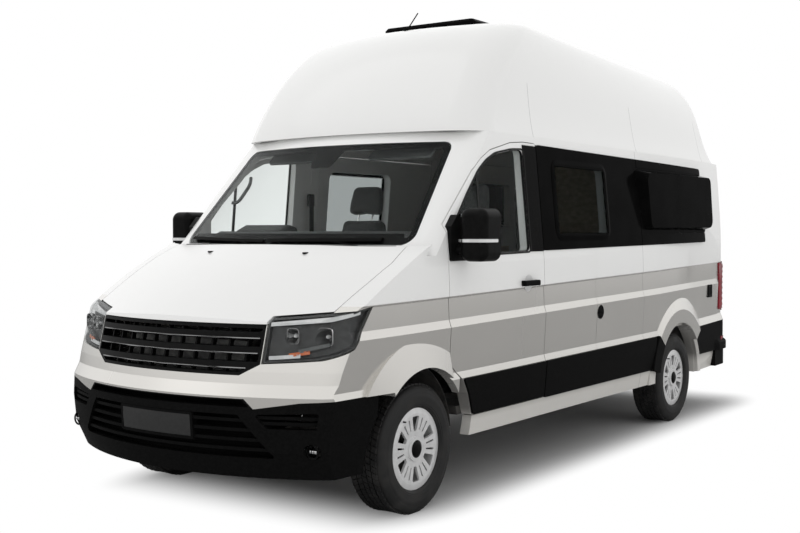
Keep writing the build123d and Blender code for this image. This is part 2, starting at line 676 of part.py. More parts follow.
# Floor with rails and wheel houses, and the liners of the front wheels
inner_seat = rear_form(REAR_FACE + REAR_DOOR_T + GAP, 885 - SEAT, REAR_CORNER_R - 40, 2500, 100, 2200)
inner_seat = side_loft(WALL + SEAT, INNER_SECTION) & inner_seat
slab = box(-3000, FLOOR_FRONT, -1000, 1000, FLOOR_Z, FLOOR_Z + FLOOR_T)
rail = box(-2850, 2760, RAIL_Y - RAIL_W / 2, RAIL_Y + RAIL_W / 2, RAIL_Z, RAIL_TOP)
house_y = 560
house = box(REAR_X - HOUSE_R, REAR_X + HOUSE_R, house_y, 1000, FLOOR_Z, TYRE_R + HOUSE_R)
house = house & arch(REAR_X, HOUSE_R, 0, 1000)
house_in = arch(REAR_X, HOUSE_R - HOUSE_WALL, house_y + HOUSE_WALL, 1000)
front_hole = arch(FRONT_X, LINER_R + LINER_T + SEAT, LINER_Y - SEAT, 1200)
floor = (slab + house + flip(house)) & inner_seat
floor = floor - house_in - flip(house_in) - front_hole - flip(front_hole)
floor = floor + rail + flip(rail) + box(2700, 2760, -RAIL_Y, RAIL_Y, RAIL_Z, RAIL_Z + 70)
liner = arch(FRONT_X, LINER_R + LINER_T, LINER_Y, 885) - arch(FRONT_X, LINER_R, LINER_Y + LINER_T, 1000)
liner = liner & box(1000, 2440, 0, 1000, RAIL_Z, 1000)
node("floor_pan", floor, both(liner))

# Furniture
base_z = FLOOR_Z + FLOOR_T + SEAT
bed = box(-2850, -1420, -1000, 1000, 905, 1060)
bed_base = box(-2840, -2200, -840, -480, base_z, 925)
kitchen = box(-1419, -930, -1000, -420, base_z, 1390)
bath = box(-1421, -640, 330, 905, base_z, 2020)
bench = box(-641, 180, 330, 880, base_z, 960)
room = rear_form(REAR_FACE + REAR_DOOR_T + 20, 870, REAR_CORNER_R - 40, 2500, 100, 2200)
room = side_loft(WALL + 12, INNER_SECTION) & room
keep_out = arch(REAR_X, HOUSE_R + SEAT, house_y - SEAT, 1200)
furniture = (bed + bed_base + kitchen + bath + bench) & room
node("living_furniture", furniture - keep_out - flip(keep_out))

# Roof, antenna and skylight
roof = roof_loft(0) - roof_loft(ROOF_WALL)
sky_outer = box(SKY_X0, SKY_X1, -SKY_HALF, SKY_HALF, SKY_Z, 3200)
sky_hole = box(SKY_X0 + 40, SKY_X1 - 40, -SKY_HALF + 40, SKY_HALF - 40, 2500, 3200)
node("high_roof", roof - sky_outer - sky_hole)
antenna = Pos(715, 0, 2700) * Cylinder(18, 168, align=FOOT_UP) + rod((715, 0, 2850), (575, 0, 2994), 4)
node("antenna", antenna - roof_loft(-SEAT))
lid = box(SKY_X0 + GAP, SKY_X1 - GAP, -SKY_HALF + GAP, SKY_HALF - GAP, SKY_Z + SEAT, SKY_Z + SKY_H)
lid = fillet(lid.edges().filter_by(Axis.Z), 40)
lid = chamfer(lid.faces().sort_by(Axis.Z)[-1].edges(), 18)
node("skylight", lid - box(SKY_X0 + 60, SKY_X1 - 60, -SKY_HALF + 60, SKY_HALF - 60, 0, SKY_Z + SKY_H - 12))

# Rear doors, lamps and bumper
rear_zone = box(REAR_FACE - 50, REAR_FACE + REAR_DOOR_T + 20,
                GAP / 2, REAR_DOOR_Y, REAR_DOOR_Z0, REAR_DOOR_Z1)
rear_leaf = (rear_plan & rear_zone) - rear_plan_in
y0, y1, z0, z1 = REAR_WINDOW
rear_outline = [(y0, z0), (y1, z0), (y1, z1), (y0, z1)]
rear_hole = prism_yz(rear_outline, REAR_FACE - 100, REAR_FACE + 200, 60)
rear_pane = prism_yz(grow(rear_outline, -SEAT), REAR_FACE + 26, REAR_FACE + 26 + GLASS_T, 60 - SEAT)
rear_door = rear_leaf - rear_hole + door_hinge
node("rear_door_left", rear_door)
node("rear_door_right", flip(rear_door))
node("rear_door_glass_left", rear_pane)
node("rear_door_glass_right", flip(rear_pane))
tail_zone = box(REAR_FACE - 50, REAR_FACE + 110, REAR_DOOR_Y + GAP + 6, 1200, *TAIL_LAMP)
tail = (side_loft(-8) & rear_form(REAR_FACE - 8, 953, REAR_CORNER_R + 8, 0, 200, 1700) & tail_zone)
corner = SIDE & rear_plan
tail = tail - Pos(-SEAT, 0, 0) * corner - Pos(0, SEAT, 0) * corner
node("tail_lamps", both(tail))
rear_bumper = rear_form(-HALF, 955, 230, 0, SILL_Z + 2, REAR_DOOR_Z0 - 10)
rear_bumper = rear_bumper & box(-3100, -2560, -1200, 1200, 0, 3000)
node("rear_bumper", rear_bumper - rear_skin)

# Suspension, axle, tank and wipers
subframe = box(1820, 2240, -RAIL_Y - 30, RAIL_Y + 30, ARM_Z, ARM_Z + 70, 20)
post = box(1930, 2070, RAIL_Y - RAIL_W / 2, RAIL_Y + RAIL_W / 2, ARM_Z + 10, RAIL_Z - SEAT)
wish = [(1860, 380), (1860, 430), (1965, KINGPIN_Y + 28), (2040, KINGPIN_Y + 28), (2160, 430), (2160, 380)]
arm = prism_xy(wish, ARM_Z, ARM_Z + ARM_T)
strut = rod((FRONT_X, STRUT_Y, ARM_Z + 20), (FRONT_X, STRUT_Y, TYRE_R + LINER_R - 2.6), STRUT_R)
top_arm = box(FRONT_X - 28, FRONT_X + 28, STRUT_Y, KINGPIN_Y + 26, KNUCKLE_TOP + SEAT, KNUCKLE_TOP + 30)
gear = arm + strut + top_arm + post
node("front_suspension", subframe + gear + flip(gear))
beam = rod((REAR_X, -720, TYRE_R), (REAR_X, 720, TYRE_R), AXLE_R)
leaf_low = ThreePointArc((REAR_X - 600, 0, 445), (REAR_X, 0, TYRE_R + 30), (REAR_X + 600, 0, 445))
leaf_top = ThreePointArc((REAR_X - 600, 0, 469), (REAR_X, 0, TYRE_R + 58), (REAR_X + 600, 0, 469))
leaf = make_face([leaf_low, Line(leaf_low @ 1, leaf_top @ 1), leaf_top, Line(leaf_top @ 0, leaf_low @ 0)])
spring = Pos(0, RAIL_Y + RAIL_W / 2 + SEAT, 0) * extrude(leaf, amount=64, dir=(0, 1, 0))
node("underfloor_tanks", box(-900, 300, -380, 380, 260, FLOOR_Z - SEAT, 40))
screen_skin = screen_loft(-SEAT)
wiper_form = screen_loft(-WIPER_T) - screen_skin
cowl = (screen_loft(-COWL_T) - screen_skin) & box(1700, 2300, -788, 788, 1386, SCREEN_BASE_Z - 2)
wipers = [cowl]
for blade, (foot_y, tip_y) in zip(WIPERS, WIPER_ARMS):
    arm = [(foot_y - 14, SCREEN_BASE_Z), (foot_y + 14, SCREEN_BASE_Z), (tip_y + 10, 1470), (tip_y - 10, 1470)]
    wipers.append(wiper_form & (prism_yz(blade, 1700, 2300) + prism_yz(arm, 1700, 2300)))
node("wipers", wipers)


# Wheels
def tyre_profile():
    w = TYRE_W / 2
    f = RIM_W / 2
    pts = [(BEAD_R + SEAT, -f + 18 + SEAT), (RIM_R + SEAT, -f + 12 + SEAT), (RIM_R + SEAT, -f),
           (RIM_R + 12, -w + 6), (RIM_R + 60, -w), (TYRE_R - 28, -w + 6), (TYRE_R - 6, -w + 24)]
    tread = [(TYRE_R, -w + 36)]
    for i in range(TREAD_GROOVES):
        c = (i - (TREAD_GROOVES - 1) / 2) * 42
        tread += [(TYRE_R, c - 6), (TYRE_R - 8, c - 5), (TYRE_R - 8, c + 5), (TYRE_R, c + 6)]
    tread.append((TYRE_R, w - 36))
    return pts + tread + [(r, -y) for r, y in reversed(pts)]


def rim_profile():
    f = RIM_W / 2
    barrel = [(BEAD_R, -f + 18), (RIM_R, -f + 12), (RIM_R, -f), (BEAD_R - 14, -f), (BEAD_R - 22, f - 30)]
    dish = [(BEAD_R - 22, f - 8), (HUB_R, f - 22), (HUB_R, f - 4), (BEAD_R - 12, f + 4)]
    return barrel + dish + [(RIM_R, f), (RIM_R, f - 12), (BEAD_R, f - 18)]


tyre = revolve(face_of([(r, y, 0) for r, y in tyre_profile()]), Axis.Y)
wheel = revolve(face_of([(r, y, 0) for r, y in rim_profile()]), Axis.Y)
wheel = wheel + disc_y(0, RIM_W / 2 - 30, RIM_W / 2 + 8, 0, HUB_R + 4)
trim_hole = prism_xz([(-12, 96), (12, 96), (34, 176), (-34, 176)], 0, 200, 8)
trim_slot = prism_xz([(-4, 104), (4, 104), (6, 172), (-6, 172)], 0, 200, 3)
pitch = 360 / TRIM_WINDOWS
cuts = []
for i in range(TRIM_WINDOWS):
    cuts.append(Rot(0, pitch * i, 0) * trim_hole)
    cuts += [Rot(0, pitch * (i + 0.5) + turn, 0) * trim_slot for turn in (-8, 8)]
wheel = wheel - cuts
CORNERS = [
    # name, x, side
    ("front_left", FRONT_X, 1),
    ("front_right", FRONT_X, -1),
    ("rear_left", REAR_X, 1),
    ("rear_right", REAR_X, -1),
]
for name, x, sign in CORNERS:
    spot = Pos(x, sign * WHEEL_Y, TYRE_R)
    node("tyre_" + name, spot * (tyre if sign > 0 else flip(tyre)))
    node("wheel_" + name, spot * (wheel if sign > 0 else flip(wheel)))

# Knuckles and the rear axle with its hubs
hub_face = WHEEL_Y + RIM_W / 2 - 30 - SEAT
knuckle = disc_y(FRONT_X, KINGPIN_Y - 40, KINGPIN_Y + 60, TYRE_R, HUB_DISC_R)
knuckle = knuckle + disc_y(FRONT_X, KINGPIN_Y, hub_face, TYRE_R, 34)
knuckle = knuckle + rod((FRONT_X, KINGPIN_Y, ARM_Z + ARM_T + SEAT), (FRONT_X, KINGPIN_Y, KNUCKLE_TOP), 26)
node("knuckle_left", knuckle)
node("knuckle_right", flip(knuckle))
hub_stub = disc_y(REAR_X, 640, hub_face, TYRE_R, 34)
drum = disc_y(REAR_X, 700, 800, TYRE_R, 110)
node("rear_axle", beam + spring + flip(spring) + hub_stub + flip(hub_stub) + drum + flip(drum))

for name, shape in NODES.items():
    export_step(shape, "parts/" + name + ".step")
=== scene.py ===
"""Camper van with a high moulded roof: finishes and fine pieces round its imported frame.

Metres. +X forward, +Y to the vehicle's left, +Z up.
"""
import math

import bmesh
import bpy
from mathutils import Matrix, Vector


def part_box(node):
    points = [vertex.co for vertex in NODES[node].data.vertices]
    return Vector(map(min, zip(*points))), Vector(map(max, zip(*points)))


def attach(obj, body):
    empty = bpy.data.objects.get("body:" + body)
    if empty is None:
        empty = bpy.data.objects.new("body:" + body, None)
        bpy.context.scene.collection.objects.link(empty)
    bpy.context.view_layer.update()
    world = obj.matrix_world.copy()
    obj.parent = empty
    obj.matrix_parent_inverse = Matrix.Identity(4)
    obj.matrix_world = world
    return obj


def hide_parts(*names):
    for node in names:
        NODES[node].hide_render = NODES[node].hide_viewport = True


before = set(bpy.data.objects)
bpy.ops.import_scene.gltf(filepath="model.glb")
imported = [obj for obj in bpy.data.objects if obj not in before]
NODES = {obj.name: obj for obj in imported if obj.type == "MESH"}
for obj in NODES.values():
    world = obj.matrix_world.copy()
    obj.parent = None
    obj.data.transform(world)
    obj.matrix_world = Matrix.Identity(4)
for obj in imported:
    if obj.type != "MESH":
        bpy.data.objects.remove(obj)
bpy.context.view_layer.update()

bl_info = {
    "name": "Camper van",
    "version": (1, 0, 0),
    "blender": (4, 5, 0),
    "location": "3D View > Sidebar > Van",
    "description": "Dresses the camper van's frame with its finishes and fine pieces",
    "category": "Object",
}

CORNERS = ("front_left", "front_right", "rear_left", "rear_right")
SIDES = (("left", 1), ("right", -1))
# starting planes of the rays that find a panel from the side, from the front and from behind
FLANK_Y = 1.3
NOSE_X = 3.1
TAIL_X = -3.2
REAR_AXLE = Vector((-1.645, 0, 0.348))
# rays that meet the van's left, its right, its nose and its tail
ON_LEFT = (0, -1, 0)
ON_RIGHT = (0, 1, 0)
ON_NOSE = (-1, 0, 0)
ON_TAIL = (1, 0, 0)
SHINE = "Specular IOR Level"
# camera: place, then how far it turns and looks down in degrees
EYE = (6.9861, 4.35734, 1.51027)
EYE_TURN = 125.0972
EYE_DROP = 1.7597
KEY_AIM = Vector((-0.35, 0.55, -1.0))


class VanPaint(bpy.types.PropertyGroup):
    """Colours of the paintwork."""
    upper: bpy.props.FloatVectorProperty(
        name="Upper paint", description="Roof, bonnet and upper sides",
        subtype="COLOR", default=(0.80, 0.80, 0.79), min=0, max=1)
    lower: bpy.props.FloatVectorProperty(
        name="Lower paint", description="Sides below the waist line, wings and bumper band",
        subtype="COLOR", default=(0.60, 0.585, 0.555), min=0, max=1)
    waist: bpy.props.FloatProperty(
        name="Waist line", description="Height of the colour split at the cab door's rear edge",
        unit="LENGTH", default=1.176, min=0.5, max=2)
    waist_rise: bpy.props.FloatProperty(
        name="Waist rise", description="How far the colour split climbs over each metre to the rear",
        default=0.021, min=0, max=0.2)


class VanTrim(bpy.types.PropertyGroup):
    """Tyre tread and seat cloth."""
    tread_pitches: bpy.props.IntProperty(
        name="Tread pitches", description="Blocks round a tyre", default=62, min=24, max=90)
    cloth: bpy.props.FloatVectorProperty(
        name="Seat cloth", description="Main colour of the seat cloth",
        subtype="COLOR", default=(0.085, 0.088, 0.088), min=0, max=1)


class VanStage(bpy.types.PropertyGroup):
    """Light and camera."""
    key: bpy.props.FloatProperty(
        name="Key lamp", description="Strength of the large soft lamp", default=0.25, min=0, max=10)
    sky: bpy.props.FloatProperty(
        name="Surround", description="Strength of the even light from all round", default=0.90, min=0, max=5)
    lens: bpy.props.FloatProperty(
        name="Lens", description="Focal length of the camera in millimetres", default=50.97, min=10, max=200)


class Wire:
    """A shader socket that plain arithmetic can be written with."""

    def __init__(self, tree, socket):
        self.tree = tree
        self.socket = socket

    def node(self, kind, settings, sockets, out=0):
        """Adds a node: its settings first, then the values or links of its sockets."""
        made = self.tree.nodes.new(kind)
        for key, value in settings.items():
            setattr(made, key, value)
        for key, value in sockets.items():
            if isinstance(value, Wire):
                self.tree.links.new(value.socket, made.inputs[key])
            else:
                made.inputs[key].default_value = value
        return Wire(self.tree, made.outputs[out])

    def math(self, operation, *values):
        return self.node("ShaderNodeMath", {"operation": operation}, dict(enumerate(values)))

    def __add__(self, other):
        return self.math("ADD", self, other)

    __radd__ = __add__

    def __sub__(self, other):
        return self.math("SUBTRACT", self, other)

    def __rsub__(self, other):
        return self.math("SUBTRACT", other, self)

    def __mul__(self, other):
        return self.math("MULTIPLY", self, other)

    __rmul__ = __mul__

    def over(self, low, high):
        """0 below low, 1 above high, and a soft step between them."""
        return self.node("ShaderNodeMapRange", {"interpolation_type": "SMOOTHSTEP"},
                         {"Value": self, "From Min": low, "From Max": high})

    def tint(self, first, second):
        """Colour that goes from first to second as this value goes from 0 to 1."""
        pair = {6: first, 7: second}
        pair = {k: v if isinstance(v, Wire) else (*v, 1) for k, v in pair.items()}
        return self.node("ShaderNodeMix", {"data_type": "RGBA"}, {0: self, **pair}, out=2)

    def noise(self, scale, detail=2):
        return self.node("ShaderNodeTexNoise", {}, {"Vector": self, "Scale": scale, "Detail": detail})

    def bump(self, strength, distance):
        return self.node("ShaderNodeBump", {}, {"Height": self, "Strength": strength, "Distance": distance})

    def part(self, axis):
        return self.node("ShaderNodeSeparateXYZ", {}, {0: self}, out=axis)


def spot_in(tree):
    """The shaded point in the frame's metres."""
    return Wire(tree, tree.nodes.new("ShaderNodeTexCoord").outputs["Object"])


def surface(tree, share, first, second):
    """Mixes two shaders and makes them the material's surface."""
    mixed = first.node("ShaderNodeMixShader", {}, {0: share, 1: first, 2: second})
    tree.links.new(mixed.socket, tree.nodes["Material Output"].inputs["Surface"])


def rays(tree):
    """Whether the camera sees a point itself or through glass, and whether a reflection shows it."""
    path = tree.nodes.new("ShaderNodeLightPath")
    seen = Wire(tree, path.outputs["Is Camera Ray"]) + Wire(tree, path.outputs["Is Transmission Ray"])
    return seen, Wire(tree, path.outputs["Is Glossy Ray"])


def edge_on(place):
    """0 where a surface faces the camera, 1 where it is seen along its edge."""
    slope = place.node("ShaderNodeLayerWeight", {}, {"Blend": 0.5}, out=1)
    return slope.math("POWER", slope, 4.5)


def finish(name, constants, make):
    """Material whose shader has these constant sockets; make(place) gives the varying ones."""
    material = bpy.data.materials.new(name)
    material.use_nodes = True
    tree = material.node_tree
    shader = tree.nodes["Principled BSDF"]
    for key, value in constants.items():
        shader.inputs[key].default_value = (*value, 1) if isinstance(value, tuple) else value
    place = spot_in(tree)
    for key, wire in make(place).items():
        tree.links.new(wire.socket, shader.inputs[key])
    return material


def plain(name, dark, light, scale, rough, bump, grain, constants):
    """Even finish with a fine grain: two near colours, uneven gloss and a small bump."""
    def make(place):
        cloud = place.noise(scale / 12, 3)
        fine = place.noise(scale, 2)
        return {
            "Base Color": cloud.over(0.3, 0.7).tint(dark, light),
            "Roughness": rough[0] + (rough[1] - rough[0]) * fine,
            "Normal": fine.bump(bump, grain),
        }
    return finish(name, constants, make)


def paint(name, split=False, joints=()):
    """Body paint, with the waist line where it is split in two colours and the lines where mouldings meet."""
    van = bpy.context.scene.van_paint

    def make(place):
        x = place.part(0)
        z = place.part(2)
        line = van.waist + 0.64 * van.waist_rise - van.waist_rise * x
        cloud = place.noise(1.6, 3).over(0.3, 0.7)
        upper = cloud.tint(tuple(c * 0.995 for c in van.upper), tuple(van.upper))
        lower = cloud.tint(tuple(c * 0.985 for c in van.lower), tuple(van.lower))
        colour = upper
        flake = 0.0 * z
        if split:
            above = (z - line).over(-0.002, 0.002)
            colour = above.tint(lower, upper)
            flake = (0.7 - 0.7 * above) * z.over(0.42, 0.52)
        road = (0.62 - z).over(0, 0.4) * place.noise(9, 4).over(0.45, 0.8)
        for joint in joints:
            seam = 1 - x.math("ABSOLUTE", x - joint).over(0.001, 0.0035)
            colour = (seam * (2.46 - z).over(0, 0.02) * 0.6).tint(colour, (0.12, 0.12, 0.12))
        peel = place.noise(180, 1)
        return {
            "Base Color": (0.04 * road).tint(colour, (0.12, 0.105, 0.085)),
            "Roughness": 0.22 + 0.03 * road + 0.03 * cloud,
            "Metallic": flake,
            "Normal": peel.bump(0.008, 0.0003),
        }
    return finish(name, {"Coat Weight": 0.35, "Coat Roughness": 0.12, SHINE: 0.35}, make)


def clear(name, tint, gloss=0.7):
    """Glass or clear plastic: see-through, with reflections that grow towards its edge."""
    material = bpy.data.materials.new(name)
    material.use_nodes = True
    tree = material.node_tree
    shader = tree.nodes["Principled BSDF"]
    shader.inputs["Base Color"].default_value = (0.01, 0.012, 0.012, 1)
    place = spot_in(tree)
    film = place.noise(3.0, 3)
    tree.links.new((0.02 + 0.03 * film).socket, shader.inputs["Roughness"])
    facing = 0.02 + gloss * edge_on(place)
    through = place.node("ShaderNodeBsdfTransparent", {}, {"Color": (*tint, 1)})
    surface(tree, facing + 0.012 * film, through, Wire(tree, shader.outputs[0]))
    return material


def glazing(name, black, low, high, edge):
    """Gloss black band with a tinted see-through pane between two corners given as (x, z)."""
    material = plain(name, black, tuple(c * 1.5 for c in black), 60, (0.09, 0.14), 0.01, 0.0006,
                     {SHINE: 0.004})
    tree = material.node_tree
    place = spot_in(tree)
    mask = 1.0
    for axis, a, b in ((0, low[0], high[0]), (2, low[1], high[1])):
        here = place.part(axis)
        mask = mask * (here - a).over(0, edge) * (b - here).over(0, edge)
    through = place.node("ShaderNodeBsdfTransparent", {}, {"Color": (0.60, 0.62, 0.62, 1)})
    mask = mask * (0.96 - 0.7 * edge_on(place))
    surface(tree, mask, Wire(tree, tree.nodes["Principled BSDF"].outputs[0]), through)
    return material


def wood(name, dark, light):
    """Veneered board: long wavering grain."""
    def make(place):
        stretched = place.node("ShaderNodeMapping", {}, {0: place, "Scale": (1.2, 9.0, 14.0)})
        grain = stretched.noise(2.4, 6)
        return {
            "Base Color": grain.over(0.3, 0.75).tint(dark, light),
            "Roughness": 0.36 + 0.15 * grain,
            "Normal": grain.bump(0.06, 0.0006),
        }
    return finish(name, {}, make)


def cloth(name, dark, light, thread):
    """Woven seat cloth: crossed threads and a soft mottled colour."""
    def make(place):
        warp = (place.part(1) * (2 * math.pi / thread)).math("SINE", place.part(1) * (2 * math.pi / thread))
        rise = place.part(2) + 0.8 * place.part(0)
        weft = rise.math("SINE", rise * (2 * math.pi / thread))
        weave = 0.5 + 0.25 * warp + 0.25 * weft
        mottle = place.noise(60, 3).over(0.3, 0.7)
        return {
            "Base Color": (0.5 * weave + 0.5 * mottle).tint(dark, light),
            "Roughness": 0.8 + 0.15 * weave,
            "Normal": weave.bump(0.35, 0.0008),
        }
    return finish(name, {"Sheen Weight": 0.25, "Sheen Roughness": 0.5}, make)


def tyre_rubber(name):
    """Tyre rubber: dusty in its lows and a little brown on the tread."""
    def make(place):
        dust = place.noise(14, 5).over(0.4, 0.75)
        fine = place.noise(260, 2)
        return {
            "Base Color": dust.tint((0.010, 0.010, 0.010), (0.024, 0.023, 0.022)),
            "Roughness": 0.62 + 0.25 * dust,
            "Normal": fine.bump(0.12, 0.0005),
        }
    return finish(name, {SHINE: 0.3}, make)


def grey(value):
    return (value, value, value)


PLAIN = {
    # name: dark and light colour, scale, lowest and highest roughness, bump, its depth, constant sockets
    "black_plastic": (grey(0.004), grey(0.006), 900, (0.45, 0.6), 0.25, 0.0006, {SHINE: 0.02}),
    "satin_black": (grey(0.004), grey(0.006), 500, (0.3, 0.42), 0.06, 0.0006, {SHINE: 0.05}),
    "black_gloss": (grey(0.003), grey(0.0045), 60, (0.09, 0.14), 0.01, 0.0006, {SHINE: 0.004}),
    "rubber": (grey(0.008), grey(0.014), 700, (0.6, 0.75), 0.15, 0.0006, {SHINE: 0.25}),
    "dash_plastic": ((0.022, 0.024, 0.024), (0.035, 0.037, 0.037), 1100, (0.5, 0.68), 0.4, 0.0006, {}),
    # handle cup: plain grey that renders lighter than the door, painted light for its hollow; the real cup
    # wears the body colour
    "cup_painted_light": ((0.56, 0.56, 0.555), (0.60, 0.60, 0.595), 300, (0.4, 0.5), 0.03, 0.0006, {}),
    "trim_grey": ((0.10, 0.105, 0.105), (0.14, 0.145, 0.145), 900, (0.55, 0.7), 0.3, 0.0006, {}),
    "cast_metal": (grey(0.12), (0.22, 0.22, 0.21), 260, (0.42, 0.65), 0.3, 0.001, {"Metallic": 0.8}),
    "floor_steel": ((0.022, 0.021, 0.020), (0.05, 0.047, 0.043), 180, (0.55, 0.8), 0.3, 0.001, {}),
    "running_gear": ((0.025, 0.024, 0.023), (0.06, 0.055, 0.05), 220, (0.45, 0.7), 0.35, 0.001,
                     {"Metallic": 0.35}),
    "tank_plastic": (grey(0.02), grey(0.035), 300, (0.5, 0.7), 0.2, 0.0006, {}),
    "wheel_silver": (grey(0.66), grey(0.74), 300, (0.28, 0.4), 0.04, 0.0006,
                     {"Metallic": 0.35, "Coat Weight": 0.4}),
    "dark_chrome": (grey(0.20), grey(0.26), 120, (0.2, 0.3), 0.02, 0.0006, {"Metallic": 0.9}),
    "chrome": (grey(0.72), grey(0.82), 80, (0.05, 0.12), 0.02, 0.0006, {"Metallic": 1.0}),
    "lamp_grey": (grey(0.035), grey(0.055), 400, (0.3, 0.45), 0.05, 0.0006, {}),
    "white_lens": (grey(0.62), grey(0.75), 160, (0.12, 0.25), 0.2, 0.001, {}),
    "amber_lens": ((0.55, 0.13, 0.05), (0.65, 0.18, 0.07), 160, (0.15, 0.25), 0.2, 0.001, {}),
    "red_lens": ((0.15, 0.002, 0.008), (0.24, 0.004, 0.014), 120, (0.08, 0.16), 0.06, 0.001, {SHINE: 0.15}),
    "mirror_glass": ((0.75, 0.77, 0.77), (0.82, 0.83, 0.83), 40, (0.02, 0.05), 0.005, 0.0006,
                     {"Metallic": 1.0}),
    "plate": (grey(0.009), grey(0.013), 500, (0.45, 0.6), 0.1, 0.0006, {}),
}
FINISH = {}


def finishes():
    """All finishes of the van, made once."""
    van = bpy.context.scene.van_trim
    weave = [tuple(c * share for c in van.cloth) for share in (0.7, 1.25)]
    for name, values in PLAIN.items():
        FINISH[name] = plain(name, *values)
    FINISH["white_paint"] = paint("white_paint")
    FINISH["roof_paint"] = paint("roof_paint", joints=(0.63, -1.04, -2.48))
    FINISH["body_paint"] = paint("body_paint", True, (-0.916,))
    FINISH["side_glass"] = glazing("side_glass", grey(0.003), (-0.33, 1.495), (0.415, 1.94), 0.012)
    FINISH["tyre"] = tyre_rubber("tyre")
    FINISH["glass"] = clear("glass", (0.985, 0.995, 0.99))
    FINISH["door_glass"] = clear("door_glass", (0.97, 0.985, 0.98))
    FINISH["dark_glass"] = clear("dark_glass", (0.22, 0.235, 0.235))
    FINISH["lamp_lens"] = clear("lamp_lens", (0.95, 0.955, 0.955), 0.5)
    FINISH["furniture_wood"] = wood("furniture_wood", (0.40, 0.33, 0.25), (0.56, 0.48, 0.38))
    FINISH["seat_fabric"] = cloth("seat_fabric", *weave, 0.004)
    FINISH["webbing"] = cloth("webbing", grey(0.012), grey(0.022), 0.002)


DRESS = {
    "body_paint": ["front_panels", "side_panel_left", "side_panel_right", "sliding_door", "cab_door_left",
                   "cab_door_right", "rear_door_left", "rear_door_right", "cab_frame"],
    "white_paint": ["bonnet"],
    "roof_paint": ["high_roof"],
    "black_plastic": ["lower_bumper", "side_cladding", "rear_bumper", "wipers", "antenna",
                      "cab_door_trim_left",
                      "cab_door_trim_right"],
    "lamp_grey": ["headlamp_housings"],
    "satin_black": ["grille", "mirror_left", "mirror_right"],
    "black_gloss": ["bed_pods", "skylight"],
    "side_glass": ["side_glazing"],
    "glass": ["windscreen"],
    "door_glass": ["cab_door_glass_left", "cab_door_glass_right"],
    "dark_glass": ["rear_door_glass_left", "rear_door_glass_right"],
    "lamp_lens": ["headlamps"],
    "red_lens": ["tail_lamps"],
    "dash_plastic": ["dashboard", "steering_wheel"],
    "seat_fabric": ["cab_seats"],
    "cast_metal": ["engine"],
    "floor_steel": ["floor_pan"],
    "running_gear": ["front_suspension", "rear_axle", "knuckle_left", "knuckle_right"],
    "tank_plastic": ["underfloor_tanks"],
    "furniture_wood": ["living_furniture"],
    "wheel_silver": ["wheel_front_left", "wheel_front_right", "wheel_rear_left", "wheel_rear_right"],
    "tyre": ["tyre_front_left", "tyre_front_right", "tyre_rear_left", "tyre_rear_right"],
}


def meshed(name, bm):
    """Mesh of a bmesh, which is freed."""
    mesh = bpy.data.meshes.new(name)
    bm.to_mesh(mesh)
    bm.free()
    return mesh


def added(name, data):
    """New object in the scene."""
    item = bpy.data.objects.new(name, data)
    bpy.context.scene.collection.objects.link(item)
    return item


def make(name, bm, look, body, slot, sharp=35):
    """Piece of the van from a bmesh: merged, smoothed up to an angle and riding on a body."""
    bmesh.ops.remove_doubles(bm, verts=bm.verts, dist=1e-6)
    bmesh.ops.recalc_face_normals(bm, faces=bm.faces)
    if not bm.faces:
        raise RuntimeError(f"{name} has no faces")
    mesh = meshed(name, bm)
    mesh.materials.append(FINISH[look])
    mesh.polygons.foreach_set("use_smooth", [True] * len(mesh.polygons))
    mesh.set_sharp_from_angle(angle=math.radians(sharp))
    piece = added(name, mesh)
    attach(piece, body)
    return piece


def block(bm, low, high, bevel=0.0, segments=2):
    """Box between two corners with rounded edges; gives its vertices."""
    low, high = Vector(low), Vector(high)
    spot = Matrix.Translation((low + high) / 2) @ Matrix.Diagonal((*(high - low), 1))
    verts = bmesh.ops.create_cube(bm, size=1, matrix=spot)["verts"]
    if bevel:
        edges = list({e for v in verts for e in v.link_edges})
        made = bmesh.ops.bevel(bm, geom=edges, offset=bevel, offset_type="OFFSET", affect="EDGES",
                               segments=segments, profile=0.5, material=-1)
        verts = list({v for f in made["faces"] for v in f.verts} | {v for v in verts if v.is_valid})
    return verts


def spun(bm, profile, centre, axis, steps, start=None):
    """Turned form: a profile of (radius, along) points about an axis through a centre."""
    axis = Vector(axis).normalized()
    side = Vector(start) if start else axis.orthogonal().normalized()
    verts = [bm.verts.new(Vector(centre) + side * r + axis * a) for r, a in profile]
    edges = [bm.edges.new(pair) for pair in zip(verts, verts[1:])]
    bmesh.ops.spin(bm, geom=verts + edges, cent=centre, axis=axis, dvec=(0, 0, 0), angle=2 * math.pi,
                   steps=steps, use_merge=True, use_duplicate=False)


def turned(name, profile, centre, axis, steps, look, body, slot):
    """Piece that is one turned form."""
    bm = bmesh.new()
    spun(bm, profile, centre, axis, steps)
    make(name, bm, look, body, slot)


def outline(bm, corners, radius, segments=5):
    """Flat face through a few corners, each corner rounded."""
    verts = [bm.verts.new(c) for c in corners]
    face = bm.faces.new(verts)
    if radius:
        bmesh.ops.bevel(bm, geom=verts, offset=radius, offset_type="OFFSET", affect="VERTICES",
                        segments=segments, profile=0.5, material=-1)
        face = max(bm.faces, key=lambda f: len(f.verts))
    return face


def divide(bm, longest):
    """Cuts every edge until none is longer than this."""
    for _ in range(8):
        edges = [e for e in bm.edges if e.calc_length() > longest]
        if not edges:
            break
        bmesh.ops.subdivide_edges(bm, edges=edges, cuts=1, use_grid_fill=True)


